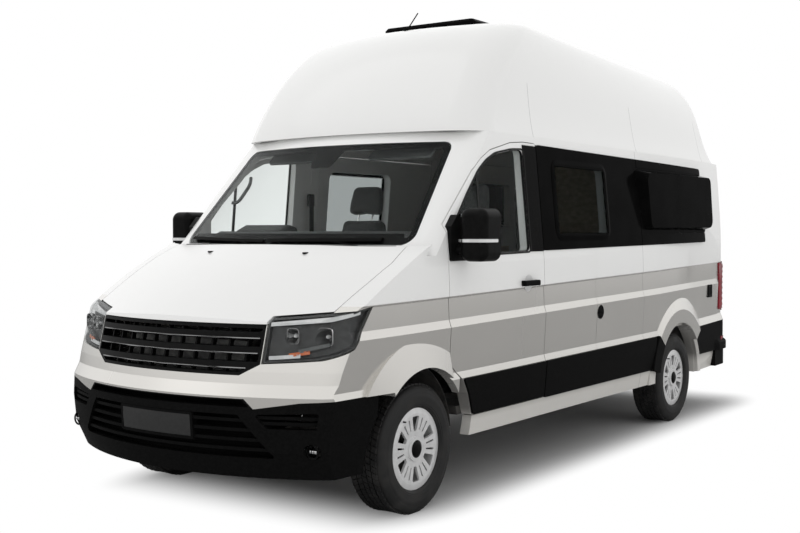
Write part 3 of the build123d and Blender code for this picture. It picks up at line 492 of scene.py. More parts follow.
def drape(bm, nodes, ray, lift):
    """Lays every vertex on the first of these nodes that a ray meets, standing off by lift.

    A vertex past a panel's edge takes the depth of its nearest neighbour that landed.
    """
    ray = Vector(ray)
    landed = []
    missed = []
    for v in bm.verts:
        best = None
        for n in nodes:
            hit, spot, _, _ = NODES[n].ray_cast(v.co - ray * 3, ray)
            if hit and (best is None or (spot - v.co).dot(ray) < (best - v.co).dot(ray)):
                best = spot
        if best is None:
            missed.append(v)
        else:
            v.co = best - ray * lift
            landed.append(v)
    if 3 * len(missed) > len(landed):
        raise RuntimeError(f"too little of {nodes} lies under this outline")
    for v in missed:
        near = min(landed, key=lambda w: (w.co - v.co).cross(ray).length)
        v.co += ray * (near.co - v.co).dot(ray)


def band(name, corners, radius, width, nodes, ray, lift, thick, look, body, slot):
    """Flat ring that lies on a curved panel: seals, frames and printed borders."""
    bm = bmesh.new()
    face = outline(bm, corners, radius)
    bmesh.ops.inset_region(bm, faces=[face], thickness=width, use_even_offset=True, use_boundary=True)
    bmesh.ops.delete(bm, geom=[face], context="FACES_ONLY")
    divide(bm, 0.12)
    drape(bm, nodes, ray, lift)
    wall(bm, ray, thick)
    return make(name, bm, look, body, slot)


def wall(bm, ray, thick):
    """Gives a draped sheet its thickness against the ray."""
    made = bmesh.ops.extrude_face_region(bm, geom=list(bm.faces))["geom"]
    move = [g for g in made if isinstance(g, bmesh.types.BMVert)]
    bmesh.ops.translate(bm, verts=move, vec=-Vector(ray) * thick)


def patch(name, corners, radius, nodes, ray, lift, thick, look, body, slot, fine):
    """Sheet that lies on a curved panel: trims, lids and plates."""
    bm = bmesh.new()
    face = outline(bm, corners, radius)
    bmesh.ops.triangulate(bm, faces=[face])
    divide(bm, fine)
    drape(bm, nodes, ray, lift)
    wall(bm, ray, thick)
    return make(name, bm, look, body, slot)


def landing(nodes, point, ray):
    """Spot where a ray through this point first meets one of these nodes."""
    bm = bmesh.new()
    vert = bm.verts.new(point)
    drape(bm, nodes, ray, 0.0)
    spot = vert.co.copy()
    bm.free()
    return spot


def join(bm, other):
    """Adds another bmesh to this one."""
    mesh = meshed("join", other)
    bm.from_mesh(mesh)
    bpy.data.meshes.remove(mesh)


def slab(bm, corners, radius, depth, bevel=0.0):
    """Flat plate with rounded corners, pulled along depth, its far rim softened."""
    form = bmesh.new()
    face = outline(form, corners, radius)
    made = bmesh.ops.extrude_face_region(form, geom=[face])["geom"]
    far = [g for g in made if isinstance(g, bmesh.types.BMVert)]
    bmesh.ops.translate(form, verts=far, vec=depth)
    if bevel:
        top = {g for g in made if isinstance(g, bmesh.types.BMFace)}
        rim = list({e for f in top for e in f.edges})
        bmesh.ops.bevel(form, geom=rim, offset=bevel, offset_type="OFFSET", affect="EDGES", segments=3,
                        profile=0.5, material=-1)
    join(bm, form)


def pipe(bm, points, radius):
    """Round tube along a smooth path."""
    curve = bpy.data.curves.new("pipe", "CURVE")
    curve.dimensions = "3D"
    curve.bevel_depth = radius
    curve.bevel_resolution = 3
    curve.use_fill_caps = True
    curve.resolution_u = 6
    spline = curve.splines.new("NURBS")
    spline.points.add(len(points) - 1)
    for spot, p in zip(spline.points, points):
        spot.co = (*p, 1)
    spline.order_u = 3
    spline.use_endpoint_u = True
    holder = bpy.data.objects.new("pipe", curve)
    mesh = bpy.data.meshes.new_from_object(holder)
    bm.from_mesh(mesh)
    bpy.data.objects.remove(holder)
    bpy.data.curves.remove(curve)
    bpy.data.meshes.remove(mesh)


def applied(piece):
    """Puts the result of a piece's modifiers into its mesh."""
    graph = bpy.context.evaluated_depsgraph_get()
    mesh = bpy.data.meshes.new_from_object(piece.evaluated_get(graph))
    piece.modifiers.clear()
    old = piece.data
    piece.data = mesh
    bpy.data.meshes.remove(old)
    return mesh


def ease(value, low, high):
    """Soft step from 0 at low to 1 at high."""
    t = min(max((value - low) / (high - low), 0), 1)
    return t * t * (3 - 2 * t)


CLOTH_FRAMES = 20


def stuffed(name, bm, shape, seams, voxel, cap, floor):
    """Pad blown up as cloth from a closed form; seams(co) gives how deep it is sewn in at a spot."""
    scene = bpy.context.scene
    piece = added(name, meshed(name, bm))
    remesh = piece.modifiers.new("remesh", "REMESH")
    remesh.mode = "VOXEL"
    remesh.voxel_size = voxel
    mesh = applied(piece)
    for v in mesh.vertices:
        v.co = shape(v.co)
    start = [v.co.copy() for v in mesh.vertices]
    blown = piece.modifiers.new("cloth", "CLOTH")
    blown.settings.quality = 4
    blown.settings.use_pressure = True
    blown.settings.uniform_pressure_force = 4
    blown.settings.effector_weights.gravity = 0
    blown.point_cache.frame_start = 1
    blown.point_cache.frame_end = CLOTH_FRAMES
    for f in range(1, CLOTH_FRAMES + 1):
        scene.frame_set(f)
    mesh = applied(piece)
    scene.frame_set(1)
    for v, first in zip(mesh.vertices, start):
        move = v.co - first
        room = cap * (0.1 if v.normal.z < -0.8 and first.z < floor else 1)
        if move.length > room:
            move *= room / move.length
        v.co = first + move
    mesh.update()
    normals = [v.normal.copy() for v in mesh.vertices]
    for v, normal in zip(mesh.vertices, normals):
        v.co -= normal * seams(v.co)
    return piece


def placed_pad(piece, name, move, look, body):
    """Copy of a pad, moved into place with its finish, smoothed and riding on a body."""
    mesh = piece.data.copy()
    mesh.transform(move)
    mesh.materials.clear()
    mesh.materials.append(FINISH[look])
    mesh.polygons.foreach_set("use_smooth", [True] * len(mesh.polygons))
    pad = added(name, mesh)
    smooth = pad.modifiers.new("smooth", "SUBSURF")
    smooth.levels = 1
    smooth.render_levels = 1
    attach(pad, body)
    return pad


def sided(points, sign):
    """Points of the left side, or their mirror images on the right."""
    return [(x, y * sign, z) for x, y, z in points]


def rect(a, b, c, d):
    """Corners of an upright rectangle from two opposite ones, (a, b) and (c, d)."""
    return [(a, b), (c, b), (c, d), (a, d)]


def flank(points, sign):
    """Points given as (x, z), set beside the van."""
    return [(x, FLANK_Y * sign, z) for x, z in points]


def crosswise(points, x, sign=1):
    """Points given as (y, z), set in a plane across the van."""
    return [(x, y * sign, z) for y, z in points]


SIDE_ROWS = (
    # half width, height at the cab door's rear edge, rise over each metre to the rear
    (0.975, 0.694, 0.009), (1.016, 0.700, 0.009), (1.005, 0.738, 0.009), (1.020, 1.003, 0.018),
    (1.006, 1.046, 0.018), (1.001, 1.166, 0.021), (1.010, 1.180, 0.021), (1.004, 1.340, 0.016),
    (1.0002, 1.388, 0.016),
)
# row at the foot of the bright stripe, then where the cab door ends and how the tail narrows
STRIPE_FOOT = 3
DOOR_REAR_X = 0.64
TAPER_X = -1.2
TAPER = 0.085 / 1.76
# rear arch: half width and top of its mouth, radius left open in the skin, half width of the skin in there
ARCH_HALF = 0.46
ARCH_TOP = 0.82
ARCH_HOLE = 0.50
INNER_Y = 0.93
# least distance of the skin from the panel
FILM = 0.0006


def panel_y(nodes, x, z, sign):
    """Half width of a panel at this spot of the van's side."""
    return landing(nodes, (x, FLANK_Y * sign, z), (0, -sign, 0)).y * sign


def pressed_side(nodes, sign, front, back):
    """Outer skin of a rear quarter with the side's steps, open over the wheel arch."""
    bm = bmesh.new()
    count = max(4, int((front - back) / 0.06))
    rings = []
    for i in range(count + 1):
        x = front + (back - front) * i / count
        inset = max(TAPER_X - x, 0) * TAPER
        ring = []
        for row, (y, z, rise) in enumerate(SIDE_ROWS):
            z += rise * (DOOR_REAR_X - x)
            over_arch = abs(x - REAR_AXLE.x) <= ARCH_HALF and z <= ARCH_TOP
            panel = INNER_Y if over_arch else panel_y(nodes, x, z, sign)
            stand = (y - inset - panel) * ease(-x, 0.12, 0.40) * (1 - ease(-x, 2.62, 2.76))
            least = FILM
            if row == STRIPE_FOOT:
                least += 0.010 * ease(-x, 0.9, 1.6) * (1 - ease(-x, 2.64, 2.70))
            stand = max(stand, least) if row else FILM / 3
            ring.append(bm.verts.new((x, (panel + stand) * sign, z)))
        rings.append(ring)
    for a, b in zip(rings, rings[1:]):
        for k in range(len(SIDE_ROWS) - 1):
            face = (a[k], b[k], b[k + 1], a[k + 1])
            middle = sum((v.co for v in face), Vector()) / 4 - REAR_AXLE
            if math.hypot(middle.x, middle.z) > ARCH_HOLE:
                bm.faces.new(face)
    loose = [v for v in bm.verts if not v.link_faces]
    bmesh.ops.delete(bm, geom=loose, context="VERTS")
    return bm


def arch_ring(section, sign, start, end):
    """Part of a ring about the rear axle, from the radii and half widths of its section."""
    bm = bmesh.new()
    turn = Matrix.Rotation(-math.radians(start), 4, "Y")
    ring = [bm.verts.new(REAR_AXLE + turn @ Vector((r, y * sign, 0))) for r, y in section]
    edges = [bm.edges.new(pair) for pair in zip(ring, ring[1:])]
    bmesh.ops.spin(bm, geom=ring + edges, cent=REAR_AXLE, axis=(0, -1, 0), dvec=(0, 0, 0),
                   angle=math.radians(end - start), steps=max(8, (end - start) // 4), use_duplicate=False)
    ends = [edge for edge in bm.edges if edge.is_boundary]
    bmesh.ops.holes_fill(bm, edges=ends, sides=0)
    return bm


def ledge(nodes, sign):
    """Sloping step from behind the rear arch to the tail, over the bumper's side."""
    bm = bmesh.new()
    steps = 24
    height = 0.062
    rings = []
    for i in range(steps + 1):
        x = -2.010 - 0.84 * i / steps
        low = 0.722 + 0.0235 * i / steps
        foot = panel_y(nodes, x, low, sign)
        top = panel_y(nodes, x, low + height, sign)
        points = [(foot - 0.003, low - 0.004), (foot + 0.0244, low), (top - 0.001, low + height)]
        rings.append([bm.verts.new((x, y * sign, z)) for y, z in points])
    for a, b in zip(rings, rings[1:]):
        for k in range(3):
            bm.faces.new((a[k], b[k], b[(k + 1) % 3], a[(k + 1) % 3]))
    bm.faces.new(rings[0])
    bm.faces.new(rings[-1][::-1])
    return bm


class VAN_OT_paintwork(bpy.types.Operator):
    """Gives every panel of the frame its finish"""
    bl_idname = "van.paintwork"
    bl_label = "Paintwork"

    def execute(self, context):
        finishes()
        for look, names in DRESS.items():
            for n in names:
                slots = NODES[n].data.materials
                slots.clear()
                slots.append(FINISH[look])
        return {"FINISHED"}


class VAN_OT_tyres(bpy.types.Operator):
    """Tyres with tread blocks and ribbed side walls"""
    bl_idname = "van.tyres"
    bl_label = "Tyres"

    def execute(self, context):
        pitches = context.scene.van_trim.tread_pitches
        wall_side = [(0.2035, 0.077), (0.2203, 0.083), (0.2203, 0.095), (0.2240, 0.1035), (0.2320, 0.1085),
                     (0.2340, 0.1115), (0.2420, 0.1125), (0.2440, 0.1145), (0.2760, 0.1170), (0.2920, 0.1172),
                     (0.2940, 0.1160), (0.3040, 0.1155), (0.3060, 0.1150), (0.3200, 0.1110), (0.3330, 0.1030),
                     (0.3395, 0.0930), (0.3400, 0.0860)]
        profile = wall_side + [(r, -a) for r, a in reversed(wall_side)]
        ribs = [(0.0, 0.026), (0.033, 0.028), (-0.033, 0.028), (0.070, 0.032), (-0.070, 0.032)]
        tread_radius = 0.346
        pitch = 2 * math.pi * tread_radius / pitches
        for corner in CORNERS:
            low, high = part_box("tyre_" + corner)
            centre = (low + high) / 2
            bm = bmesh.new()
            spun(bm, profile, centre, (0, 1, 0), 96, (0, 0, 1))
            blocks = []
            for i, (y, width) in enumerate(ribs):
                verts = block(bm, (centre.x - pitch * 0.43, centre.y + y - width / 2, centre.z + 0.337),
                              (centre.x + pitch * 0.43, centre.y + y + width / 2, centre.z + 0.3475))
                turn = Matrix.Rotation((i % 2) * pitch / 0.7, 3, "Y")
                bmesh.ops.rotate(bm, cent=centre, matrix=turn, verts=verts)
                for v in verts:
                    v.co.x += (v.co.y - centre.y) * (0.35 if y > 0 else -0.35 if y < 0 else 0.5)
                blocks += verts
            faces = list({f for v in blocks for f in v.link_faces})
            edges = list({e for v in blocks for e in v.link_edges})
            bmesh.ops.spin(bm, geom=blocks + edges + faces, cent=centre, axis=(0, 1, 0), dvec=(0, 0, 0),
                           angle=2 * math.pi * (pitches - 1) / pitches, steps=pitches - 1, use_duplicate=True)
            piece = make("tread_" + corner, bm, "tyre", "wheel_" + corner, "tyre", 32)
            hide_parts("tyre_" + corner)
        return {"FINISHED"}


class VAN_OT_wheel_trims(bpy.types.Operator):
    """Hub caps, valves and brake discs"""
    bl_idname = "van.wheel_trims"
    bl_label = "Wheel trims"

    def execute(self, context):
        cap = [(0, 0.1135), (0.020, 0.1130), (0.034, 0.1105), (0.0405, 0.1065), (0.0425, 0.1040),
               (0.0450, 0.1045), (0.0475, 0.1035), (0.0480, 0.0990), (0, 0.0990)]
        disc = [(0.042, -0.030), (0.170, -0.030), (0.172, -0.028), (0.172, -0.014), (0.170, -0.012),
                (0.075, -0.012), (0.070, 0.010), (0.042, 0.010), (0.042, -0.030)]
        valve = [(0, 0.114), (0.0035, 0.114), (0.0042, 0.112), (0.0042, 0.102), (0.0055, 0.100),
                 (0.0055, 0.080), (0, 0.080)]
        for corner in CORNERS:
            low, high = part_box("tyre_" + corner)
            centre = (low + high) / 2
            out = Vector((0, 1 if centre.y > 0 else -1, 0))
            wheel = "wheel_" + corner
            turned("hub_cap_" + corner, cap, centre, out, 40, "satin_black", wheel, "black_plastic")
            # The brake discs are real parts; their near-black running-gear finish also stands in for the
            # shade seen through the trim's openings.
            turned("brake_disc_" + corner, disc, centre, out, 48, "running_gear", wheel, "running_gear")
            spot = centre + Vector((0.115, 0, 0.160))
            turned("valve_" + corner, valve, spot, out, 12, "rubber", wheel, "black_plastic")
        return {"FINISHED"}


class VAN_OT_lamps(bpy.types.Operator):
    """Reflectors, bulbs and strips inside the headlamps, and the fog lamps' rings"""
    bl_idname = "van.lamps"
    bl_label = "Lamps"

    def execute(self, context):
        bowls = [(0.722, 0.995, 0.046), (0.866, 0.992, 0.054)]
        for side, sign in SIDES:
            bm = bmesh.new()
            glow = bmesh.new()
            for y, z, r in bowls:
                edge = landing(["headlamps"], (NOSE_X, (y + 0.6 * r) * sign, z), ON_NOSE)
                spot = (edge.x - 0.009, y * sign, z)
                bowl = bmesh.new()
                spun(bowl, [(0, -0.051), (0.013, -0.0505), (r * 0.52, -0.034), (r * 0.76, -0.008),
                            (r * 0.80, 0.006), (r * 0.86, 0.006), (r * 0.86, 0.001), (r * 0.58, -0.036),
                            (0.016, -0.0545), (0, -0.0545)], spot, (1, 0, 0), 32)
                for v in bowl.verts:
                    across, up = v.co.y - spot[1], v.co.z - spot[2]
                    reach = math.hypot(across, up)
                    if reach > 0:
                        square = (abs(across / reach) ** 5 + abs(up / reach) ** 5) ** -0.2
                        v.co.y = spot[1] + across * square
                        v.co.z = spot[2] + up * square
                join(bm, bowl)
                spun(glow, [(0, -0.004), (0.007, -0.007), (0.010, -0.014), (0.010, -0.024), (0.006, -0.036),
                            (0.006, -0.050), (0, -0.050)], spot, (1, 0, 0), 16)
            make("reflectors_" + side, bm, "chrome", "body", "lamp_lens", 12)
            make("bulbs_" + side, glow, "white_lens", "body", "lamp_lens")
            ray = Vector((-0.78, -0.62 * sign, 0)).normalized()
            brow = [(2.79, 0.618, 1.040), (2.62, 0.880, 1.066), (2.50, 0.965, 1.098), (2.50, 0.965, 1.113),
                    (2.62, 0.880, 1.087), (2.79, 0.618, 1.059)]
            patch("lamp_brow_" + side, sided(brow, sign), 0.0, ["headlamps"], ray, -0.013, 0.004,
                  "white_lens", "body", "lamp_lens", 0.04)
            parts = [("lamp_strip_", "white_lens", 0.625, 0.745),
                     ("lamp_blinker_", "amber_lens", 0.752, 0.805), ("lamp_foot_", "trim_grey", 0.812, 0.930)]
            for piece, look, y0, y1 in parts:
                foot = [(0.878 + 0.030 * ease(y, 0.70, 0.80) + 0.30 * max(y - 0.80, 0)) for y in (y0, y1)]
                line = [(2.80, y0, foot[0]), (2.70, y1, foot[1]), (2.70, y1, foot[1] + 0.018),
                        (2.80, y0, foot[0] + 0.018)]
                patch(piece + side, sided(line, sign), 0.0, ["headlamps"], ray, -0.013, 0.004, look, "body",
                      "lamp_lens", 0.03)
            spot = landing(["headlamps"], (NOSE_X, 0.867 * sign, 0.440), ON_NOSE)
            ring = [(0.029, -0.004), (0.030, 0.003), (0.034, 0.004), (0.0372, 0.002), (0.0372, -0.004),
                    (0.029, -0.004)]
            turned("fog_ring_" + side, ring, spot, (1, 0, 0), 36, "satin_black", "body", "lamp_lens")
            bm = bmesh.new()
            for dy, half in ((-0.017, 0.008), (0.0, 0.006), (0.017, 0.008)):
                low = spot + Vector((-0.004, dy - half, -0.007))
                block(bm, low, spot + Vector((0.002, dy + half, 0.007)), 0.002)
            make("fog_glint_" + side, bm, "chrome", "body", "lamp_lens")
        return {"FINISHED"}


class VAN_OT_front(bpy.types.Operator):
    """Blank number plate and its holder, grille lines, air shroud and washer jets"""
    bl_idname = "van.front"
    bl_label = "Front"

    def execute(self, context):
        plate = crosswise(rect(-0.252, 0.482, 0.252, 0.600), NOSE_X)
        patch("front_plate", plate, 0.010, ["lower_bumper"], ON_NOSE, 0.004, 0.002, "plate", "body",
              "black_plastic", 0.06)
        edge = crosswise(rect(-0.262, 0.472, 0.262, 0.610), NOSE_X)
        band("plate_holder", edge, 0.012, 0.014, ["lower_bumper"], ON_NOSE, 0.0005, 0.008, "black_plastic",
             "body", "black_plastic")
        for number, (z, half) in enumerate(((0.8345, 0.525), (0.907, 0.575), (0.980, 0.575))):
            line = crosswise(rect(-half, z, half, z + 0.005), NOSE_X)
            patch(f"grille_line_{number + 1}", line, 0.0, ["grille"], ON_NOSE, 0.0003, 0.002, "dark_chrome",
                  "body", "black_plastic", 0.05)
        bm = bmesh.new()
        slab(bm, crosswise(rect(-0.70, 0.33, 0.70, 0.70), 2.764), 0.03, (0.008, 0, 0), 0.002)
        make("air_shroud", bm, "black_plastic", "body", "black_plastic")
        bm = bmesh.new()
        for y in (-0.36, 0.36):
            spot = landing(["bonnet"], (2.20, y, 1.5), (0, 0, -1))
            block(bm, spot + Vector((-0.016, -0.011, -0.003)), spot + Vector((0.016, 0.011, 0.007)), 0.003)
        make("washer_jets", bm, "satin_black", "bonnet", "black_plastic")
        return {"FINISHED"}


class VAN_OT_screen(bpy.types.Operator):
    """Printed border and sensor cover of the windscreen, and the sun visors"""
    bl_idname = "van.screen"
    bl_label = "Windscreen"

    def execute(self, context):
        screen = ["windscreen"]
        rim = crosswise([(-0.862, 1.441), (0.862, 1.441), (0.780, 2.035), (-0.780, 2.035)], NOSE_X)
        band("screen_border", rim, 0.056, 0.034, screen, ON_NOSE, -0.0105, 0.001, "satin_black", "body",
             "black_plastic")
        foot = crosswise([(-0.800, 1.470), (0.800, 1.470), (0.790, 1.500), (-0.790, 1.500)], NOSE_X)
        sensor = crosswise([(-0.075, 1.895), (0.075, 1.895), (0.115, 2.008), (-0.115, 2.008)], NOSE_X)
        for name, form, radius, lift, thick in (("screen_foot_border", foot, 0.01, -0.0108, 0.001),
                                                ("screen_sensor", sensor, 0.02, -0.0125, 0.0015)):
            patch(name, form, radius, screen, ON_NOSE, lift, thick, "satin_black", "body", "black_plastic",
                  0.06)
        for side, sign in SIDES:
            bm = bmesh.new()
            shade = [(1.375, 0.17, 1.945), (1.375, 0.64, 1.945), (1.300, 0.64, 2.012), (1.300, 0.17, 2.012)]
            slab(bm, sided(shade, sign), 0.025, (0.012, 0, 0.012), 0.005)
            pipe(bm, sided([(1.302, 0.20, 2.006), (1.302, 0.40, 2.006), (1.302, 0.66, 2.006)], sign), 0.006)
            make("sun_visor_" + side, bm, "trim_grey", "body", "dash_plastic")
        return {"FINISHED"}


class VAN_OT_seats(bpy.types.Operator):
    """Padded cab seats on their pedestals"""
    bl_idname = "van.seats"
    bl_label = "Seats"

    def execute(self, context):
        def cushion_shape(co):
            bolster = ease(abs(co.y), 0.13, 0.20)
            top = ease(co.z, 0.86, 0.93)
            rise = 0.030 * bolster * top - 0.020 * ease(co.x, 1.12, 1.24) * top
            return Vector((co.x, co.y, co.z + rise))

        def back_shape(co):
            bolster = ease(abs(co.y), 0.12, 0.19) * ease(co.z, 0.06, 0.16) * (1 - ease(co.z, 0.46, 0.60))
            narrow = 1 - 0.24 * ease(co.z, 0.42, 0.70)
            return Vector((co.x + 0.035 * bolster * ease(co.x, 0.0, 0.05), co.y * narrow, co.z))

        def head_shape(co):
            narrow = 1 - 0.16 * ease(co.z, 0.78, 0.93)
            return Vector((co.x, co.y * narrow, co.z))

        def groove(distance):
            return 0.007 * math.exp(-(distance / 0.0075) ** 2)

        def cushion_seams(co):
            on_top = ease(co.z, 0.90, 0.93)
            cross = min(abs(co.x - x) for x in (0.86, 1.00, 1.14))
            return on_top * max(groove(abs(co.y) - 0.150), groove(cross) * (1 - ease(abs(co.y), 0.13, 0.15)))

        def back_seams(co):
            facing = ease(co.x, 0.03, 0.05)
            half = 0.145 * (1 - 0.24 * ease(co.z, 0.42, 0.70))
            cross = min(abs(co.z - z) for z in (0.18, 0.33, 0.48))
            inner = 1 - ease(abs(co.y), half - 0.02, half)
            return facing * max(groove(abs(co.y) - half), groove(cross) * inner)

        def head_seams(co):
            return groove(co.x - 0.005) * 0.7

        bm = bmesh.new()
        block(bm, (0.735, -0.238, 0.806), (1.238, 0.238, 0.940), 0.045, 3)
        cushion = stuffed("cushion", bm, cushion_shape, cushion_seams, 0.012, 0.018, 0.83)
        bm = bmesh.new()
        block(bm, (-0.052, -0.228, 0.02), (0.052, 0.228, 0.685), 0.042, 3)
        back = stuffed("back", bm, back_shape, back_seams, 0.012, 0.016, -1)
        bm = bmesh.new()
        block(bm, (-0.036, -0.135, 0.712), (0.044, 0.135, 0.915), 0.036, 3)
        head = stuffed("head", bm, head_shape, head_seams, 0.009, 0.010, -1)
        for side, sign in SIDES:
            y = 0.43 * sign
            lean = Matrix.Translation((0.740, y, 0.930)) @ Matrix.Rotation(math.radians(-12), 4, "Y")
            flat = Matrix.Translation((0, y, 0))
            forms = [(cushion, "seat_cushion_", flat), (back, "seat_back_", lean), (head, "seat_head_", lean)]
            pads = [placed_pad(form, name + side, move, "seat_fabric", "body") for form, name, move in forms]
            bm = bmesh.new()
            block(bm, (0.765, y - 0.185, 0.5205), (1.155, y + 0.185, 0.700), 0.02)
            block(bm, (0.740, y - 0.215, 0.700), (1.200, y + 0.215, 0.803), 0.03)
            for dy in (-0.15, 0.15):
                block(bm, (0.70, y + dy - 0.02, 0.5205), (1.22, y + dy + 0.02, 0.545), 0.004)
            make("seat_base_" + side, bm, "dash_plastic", "body", "dash_plastic")
            bm = bmesh.new()
            for dy in (-0.06, 0.06):
                ends = [lean @ Vector((0, dy, h)) for h in (0.62, 0.68, 0.76)]
                pipe(bm, ends, 0.007)
            make("seat_posts_" + side, bm, "chrome", "body", "dash_plastic")
            if sign > 0:
                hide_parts("cab_seats")
            bm = bmesh.new()
            block(bm, (0.98, y - 0.235 * sign - 0.014, 0.86), (1.02, y - 0.235 * sign + 0.014, 1.00), 0.006)
            make("belt_buckle_" + side, bm, "satin_black", "body", "dash_plastic")
        for piece in (cushion, back, head):
            bpy.data.objects.remove(piece)
        return {"FINISHED"}


class VAN_OT_cabin(bpy.types.Operator):
    """Belts, grab handles, stalks, vents and the steering wheel's pad"""
    bl_idname = "van.cabin"
    bl_label = "Cabin"

    def execute(self, context):
        for side, sign in SIDES:
            bm = bmesh.new()
            path = sided([(1.560, 0.800, 1.700), (1.535, 0.775, 1.690), (1.470, 0.770, 1.760),
                          (1.405, 0.770, 1.830), (1.385, 0.790, 1.868)], sign)
            pipe(bm, path, 0.011)
            make("grab_handle_" + side, bm, "trim_grey", "body", "dash_plastic")
            bm = bmesh.new()
            form = [(0.668, 0.845, 0.62), (0.716, 0.845, 0.62), (0.716, 0.842, 1.70), (0.668, 0.842, 1.70)]
            slab(bm, sided(form, sign), 0.0, (0, -0.0015 * sign, 0))
            block(bm, (0.660, 0.836 * sign, 1.690), (0.724, 0.862 * sign, 1.780), 0.008)
            make("belt_" + side, bm, "webbing", "body", "seat_fabric")
        form = [(1.52, -0.80, 1.36), (1.54, -0.80, 1.45), (1.60, -0.80, 1.500), (1.72, -0.80, 1.515),
                (1.88, -0.80, 1.475), (1.90, -0.80, 1.41), (1.84, -0.80, 1.36)]
        cover = bmesh.new()
        slab(cover, form, 0.02, (0, 1.60, 0), 0.02)
        hood = [(1.535, -0.62, 1.44), (1.550, -0.62, 1.535), (1.62, -0.62, 1.555), (1.74, -0.62, 1.515),
                (1.74, -0.62, 1.44)]
        slab(cover, hood, 0.015, (0, 0.38, 0), 0.02)
        divide(cover, 0.12)
        for v in cover.verts:
            v.co.x -= 0.45 * ease(abs(v.co.y), 0.35, 0.95) * max(v.co.x - 1.56, 0)
        make("dash_top", cover, "dash_plastic", "body", "dash_plastic")
        low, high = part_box("steering_wheel")
        centre = (low + high) / 2
        axis = Vector((-0.215, 0, 0.084)).normalized()
        pad = [(0, 0.040), (0.030, 0.039), (0.052, 0.034), (0.060, 0.026), (0.062, 0.012), (0.058, 0.004),
               (0, 0.004)]
        turned("wheel_pad", pad, centre, axis, 40, "dash_plastic", "steering_wheel", "dash_plastic")
        bm = bmesh.new()
        for y in (-0.60, -0.26):
            pipe(bm, [(1.475, -0.43 + (y + 0.43) * 0.25, 1.195), (1.465, -0.43 + (y + 0.43) * 0.6, 1.198),
                      (1.440, y, 1.205)], 0.008)
        make("stalks", bm, "satin_black", "body", "dash_plastic")
        bm = bmesh.new()
        for y, width in ((-0.02, 0.16), (0.60, 0.12), (-0.74, 0.12)):
            for k in range(4):
                z = 1.215 + 0.022 * k
                x = 1.494 + 0.53 * (z - 1.18)
                block(bm, (x - 0.006, y - width / 2, z), (x + 0.012, y + width / 2, z + 0.006), 0.002)
        make("vent_slats", bm, "satin_black", "body", "dash_plastic")
        bm = bmesh.new()
        slab(bm, [(1.483, -0.115, 1.045), (1.483, 0.115, 1.045), (1.474, 0.115, 1.165),
                  (1.474, -0.115, 1.165)], 0.012, (-0.012, 0, 0), 0.003)
        make("dash_screen", bm, "black_gloss", "body", "dash_plastic")
        return {"FINISHED"}


class VAN_OT_doors(bpy.types.Operator):
    """Window seals, mirror glasses, indicator strips, handles and door cards of the cab doors"""
    bl_idname = "van.doors"
    bl_label = "Cab doors"

    def execute(self, context):
        window = [(0.804, 1.381), (1.622, 1.366), (1.645, 1.583), (1.520, 1.722), (1.369, 1.869),
                  (1.267, 1.936), (1.153, 1.984), (0.951, 2.018), (0.804, 2.026)]
        opening = [(0.8155, 1.3925), (1.6145, 1.3786), (1.6314, 1.5797), (1.5116, 1.7115), (1.3617, 1.8574),
                   (1.2617, 1.9244), (1.1499, 1.9714), (0.9499, 2.0054), (0.8155, 2.0134)]
        for side, sign in SIDES:
            door = "cab_door_" + side
            trim = "cab_door_trim_" + side
            ray = Vector((0, -sign, 0))
            band("door_seal_" + side, flank(window, sign), 0.028, 0.011, [door, trim], ray, -0.002, 0.005,
                 "rubber", door, "black_plastic")
            pane = ["cab_door_glass_" + side]
            band("door_channel_" + side, flank(opening, sign), 0.0295, 0.004, pane, ray, 0.0004, 0.0152,
                 "rubber", door, "black_plastic")
            edge = flank(rect(0.6410, 1.390, 0.6490, 2.045), sign)
            patch("pillar_edge_" + side, edge, 0.0, [door], ray, 0.0004, 0.0055, "black_gloss", door,
                  "black_gloss", 0.2)
            bar = flank([(1.352, 1.384), (1.374, 1.384), (1.374, 1.843), (1.352, 1.862)], sign)
            patch("window_bar_" + side, bar, 0.0, pane, ray, 0.0004, 0.006, "rubber", door, "black_plastic",
                  0.06)
            bm = bmesh.new()
            glass = crosswise(rect(1.060, 1.364, 1.195, 1.622), 1.5555, sign)
            slab(bm, glass, 0.036, (-0.004, 0, 0), 0.001)
            make("mirror_glass_" + side, bm, "mirror_glass", door, "black_plastic")
            strip = sided([(1.765, 1.115, 1.452), (1.62, 1.262, 1.452), (1.62, 1.262, 1.470),
                           (1.765, 1.115, 1.470)], sign)
            slant = Vector((-0.71, -0.71 * sign, 0)).normalized()
            patch("mirror_blinker_" + side, strip, 0.005, ["mirror_" + side], slant, -0.001, 0.004,
                  "white_lens", door, "lamp_lens", 0.012)
            # The cup's lighter grey is painted light: the real cup is body coloured and its hollow catches
            # more light.
            cup = flank(rect(0.793, 1.144, 0.897, 1.248), sign)
            patch("handle_cup_" + side, cup, 0.0515, [door], ray, 0.0003, 0.001, "cup_painted_light", door,
                  "body_paint", 0.02)
            spot = landing([door], (0.718, FLANK_Y * sign, 1.190), ray)
            lock = [(0, 0.004), (0.008, 0.004), (0.010, 0.003), (0.0105, -0.002), (0, -0.002)]
            turned("door_lock_" + side, lock, spot, -ray, 20, "chrome", door, "black_plastic")
            card = flank([(0.70, 0.56), (1.46, 0.56), (1.66, 0.83), (1.66, 1.345), (0.70, 1.365)], sign)
            patch("door_card_" + side, card, 0.03, [door], -ray, 0.001, 0.010, "trim_grey", door,
                  "dash_plastic", 0.12)
            spot = landing([door], (1.1, FLANK_Y * sign, 0.98), -ray)
            bm = bmesh.new()
            block(bm, (0.84, spot.y - 0.004 * sign, 0.945), (1.36, spot.y - 0.062 * sign, 1.000), 0.014, 3)
            block(bm, (1.02, spot.y - 0.010 * sign, 1.14), (1.16, spot.y - 0.030 * sign, 1.165), 0.006)
            make("arm_rest_" + side, bm, "dash_plastic", door, "dash_plastic")
        return {"FINISHED"}


